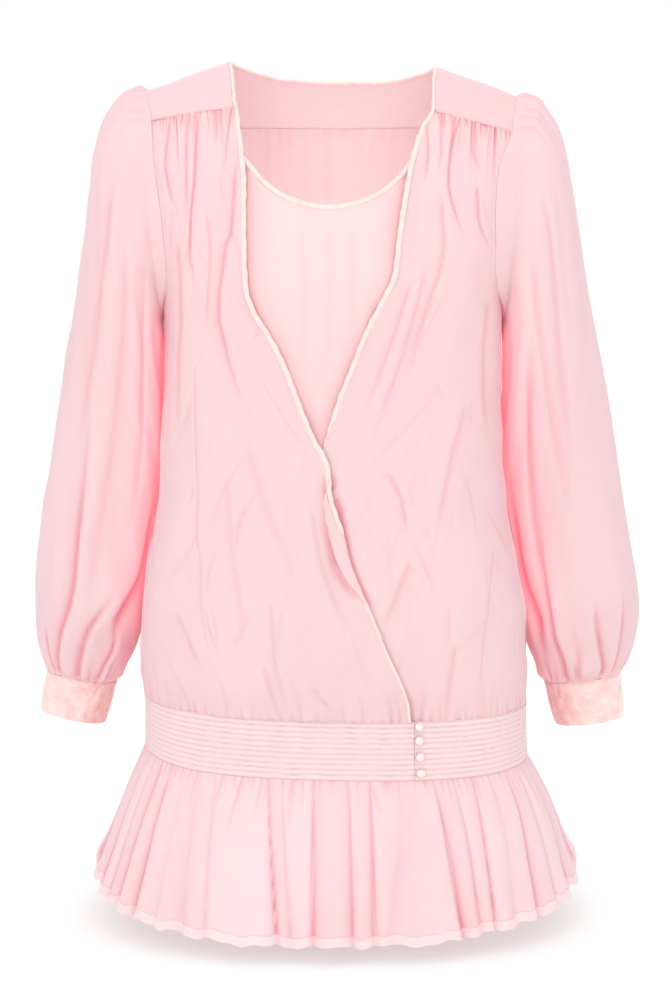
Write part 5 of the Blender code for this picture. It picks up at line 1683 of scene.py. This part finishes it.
# ---------------------------------------------------------------- the whole garment
def make_garment():
    """Makes every piece, and returns the larger ones by name."""
    right_side, left_side = math.pi / 2, 3 * math.pi / 2
    opening = float(turn_of(OPENING_X, BAND_TOP))
    made = {
        "over": make_front_over(),
        "under": make_front_under(),
        "flap": make_flap(),
        "back": make_back(),
        "yoke": make_yoke(),
        "insert": make_insert(),
        "sleeve_left": make_sleeve("sleeve_left", LEFT_SLEEVE, -1, LEFT_SLEEVE_FOLDS),
        "sleeve_right": make_sleeve("sleeve_right", RIGHT_SLEEVE, 1, RIGHT_SLEEVE_FOLDS),
        "cuff_left": make_cuff("cuff_left", LEFT_CUFF, -1),
        "cuff_right": make_cuff("cuff_right", RIGHT_CUFF, 1),
    }
    make_bindings()
    make_sewing()
    made["band_over"] = make_band("band_front_over", -right_side, opening - OPENING_GAP / 2, 321)
    made["band_under"] = make_band("band_front_under", opening + OPENING_GAP / 2, right_side, 141)
    made["band_back"] = make_band("band_back", right_side, left_side, 241)
    make_buttons()
    made["ruffle_front"] = make_ruffle("ruffle_front", -right_side, right_side, RUFFLE_FOLDS)
    made["ruffle_back"] = make_ruffle("ruffle_back", right_side, left_side, back_lines())
    return made


# ---------------------------------------------------------------- floor, light and camera
FLOOR_DROP = 0.017  # the garment hangs clear of the floor by this much
FLOOR_SIZE = 14.0
FLOOR_BEHIND = 3.0  # how far behind the garment the floor's middle is
FLOOR_LIGHT = (0.60, 0.60, 0.60, 1.0)
FLOOR_DARK = (0.58, 0.58, 0.58, 1.0)
FLOOR_GLOW = 0.42
# each light: its place, what it points at, its size and its power
LIGHTS = {
    "key": ((-1.3, -2.6, 0.9), (0.0, 0.0, -0.40), 1.4, 8.5),
    "low": ((0.3, -2.3, -0.2), (0.0, 0.0, -0.70), 1.1, 5),
    "neck": ((0.0, -0.45, 0.75), (0.0, 0.08, -0.12), 0.35, 1.0),
    "inside": ((0.0, -0.03, -0.27), (0.0, 0.10, -0.10), 0.16, 0.24),
    "back": ((0.3, 2.6, 1.2), (0.0, 0.0, -0.30), 2.4, 15),
}
CAMERA_PLACE = (0.003, -2.0, -0.235)
CAMERA_DIP = math.atan(0.101)  # how far it looks down
FOCAL_LENGTH = 2000  # in pixels of the photograph
PHOTO_HEIGHT = 1008
SENSOR = 36


def make_floor():
    bpy.ops.mesh.primitive_plane_add(size=FLOOR_SIZE, location=(0.0, FLOOR_BEHIND, HEM - FLOOR_DROP))
    floor = bpy.context.active_object
    floor.name = "floor"
    shader = Shader("pale_floor")
    grain = shader.noise("Object", (1.0, 1.0, 1.0), 3.0, size=18.0)
    colour = shader.blend(shader.math("MULTIPLY", grain, 0.1), FLOOR_LIGHT, FLOOR_DARK)
    shader.fill(shader.surface, Base_Color=colour, Emission_Color=WHITE, Emission_Strength=FLOOR_GLOW,
                Roughness=0.9, Specular_IOR_Level=0.1)
    shader.material.cycles.emission_sampling = "NONE"
    floor.data.materials.append(shader.material)


def make_light(name, place, target, size, power):
    data = bpy.data.lights.new(name, "AREA")
    data.shape = "SQUARE"
    data.size = size
    data.energy = power
    made = make_object(name, data)
    made.location = place
    made.rotation_euler = (Vector(target) - Vector(place)).to_track_quat("-Z", "Y").to_euler()
    made.visible_camera = False


def make_world():
    world = bpy.data.worlds.new("studio")
    world.use_nodes = True
    background = world.node_tree.nodes["Background"]
    background.inputs["Color"].default_value = WHITE
    background.inputs["Strength"].default_value = 1.0
    bpy.context.scene.world = world
    bpy.context.scene.view_settings.view_transform = "Standard"


def make_camera():
    data = bpy.data.cameras.new("camera")
    data.lens = FOCAL_LENGTH / PHOTO_HEIGHT * SENSOR
    data.sensor_width = SENSOR
    data.clip_end = 50
    camera = make_object("camera", data)
    camera.location = CAMERA_PLACE
    camera.rotation_euler = (math.pi / 2 - CAMERA_DIP, 0.0, 0.0)
    bpy.context.scene.camera = camera


pieces = make_garment()
make_floor()
make_world()
for light, values in LIGHTS.items():
    make_light(light, *values)
make_camera()
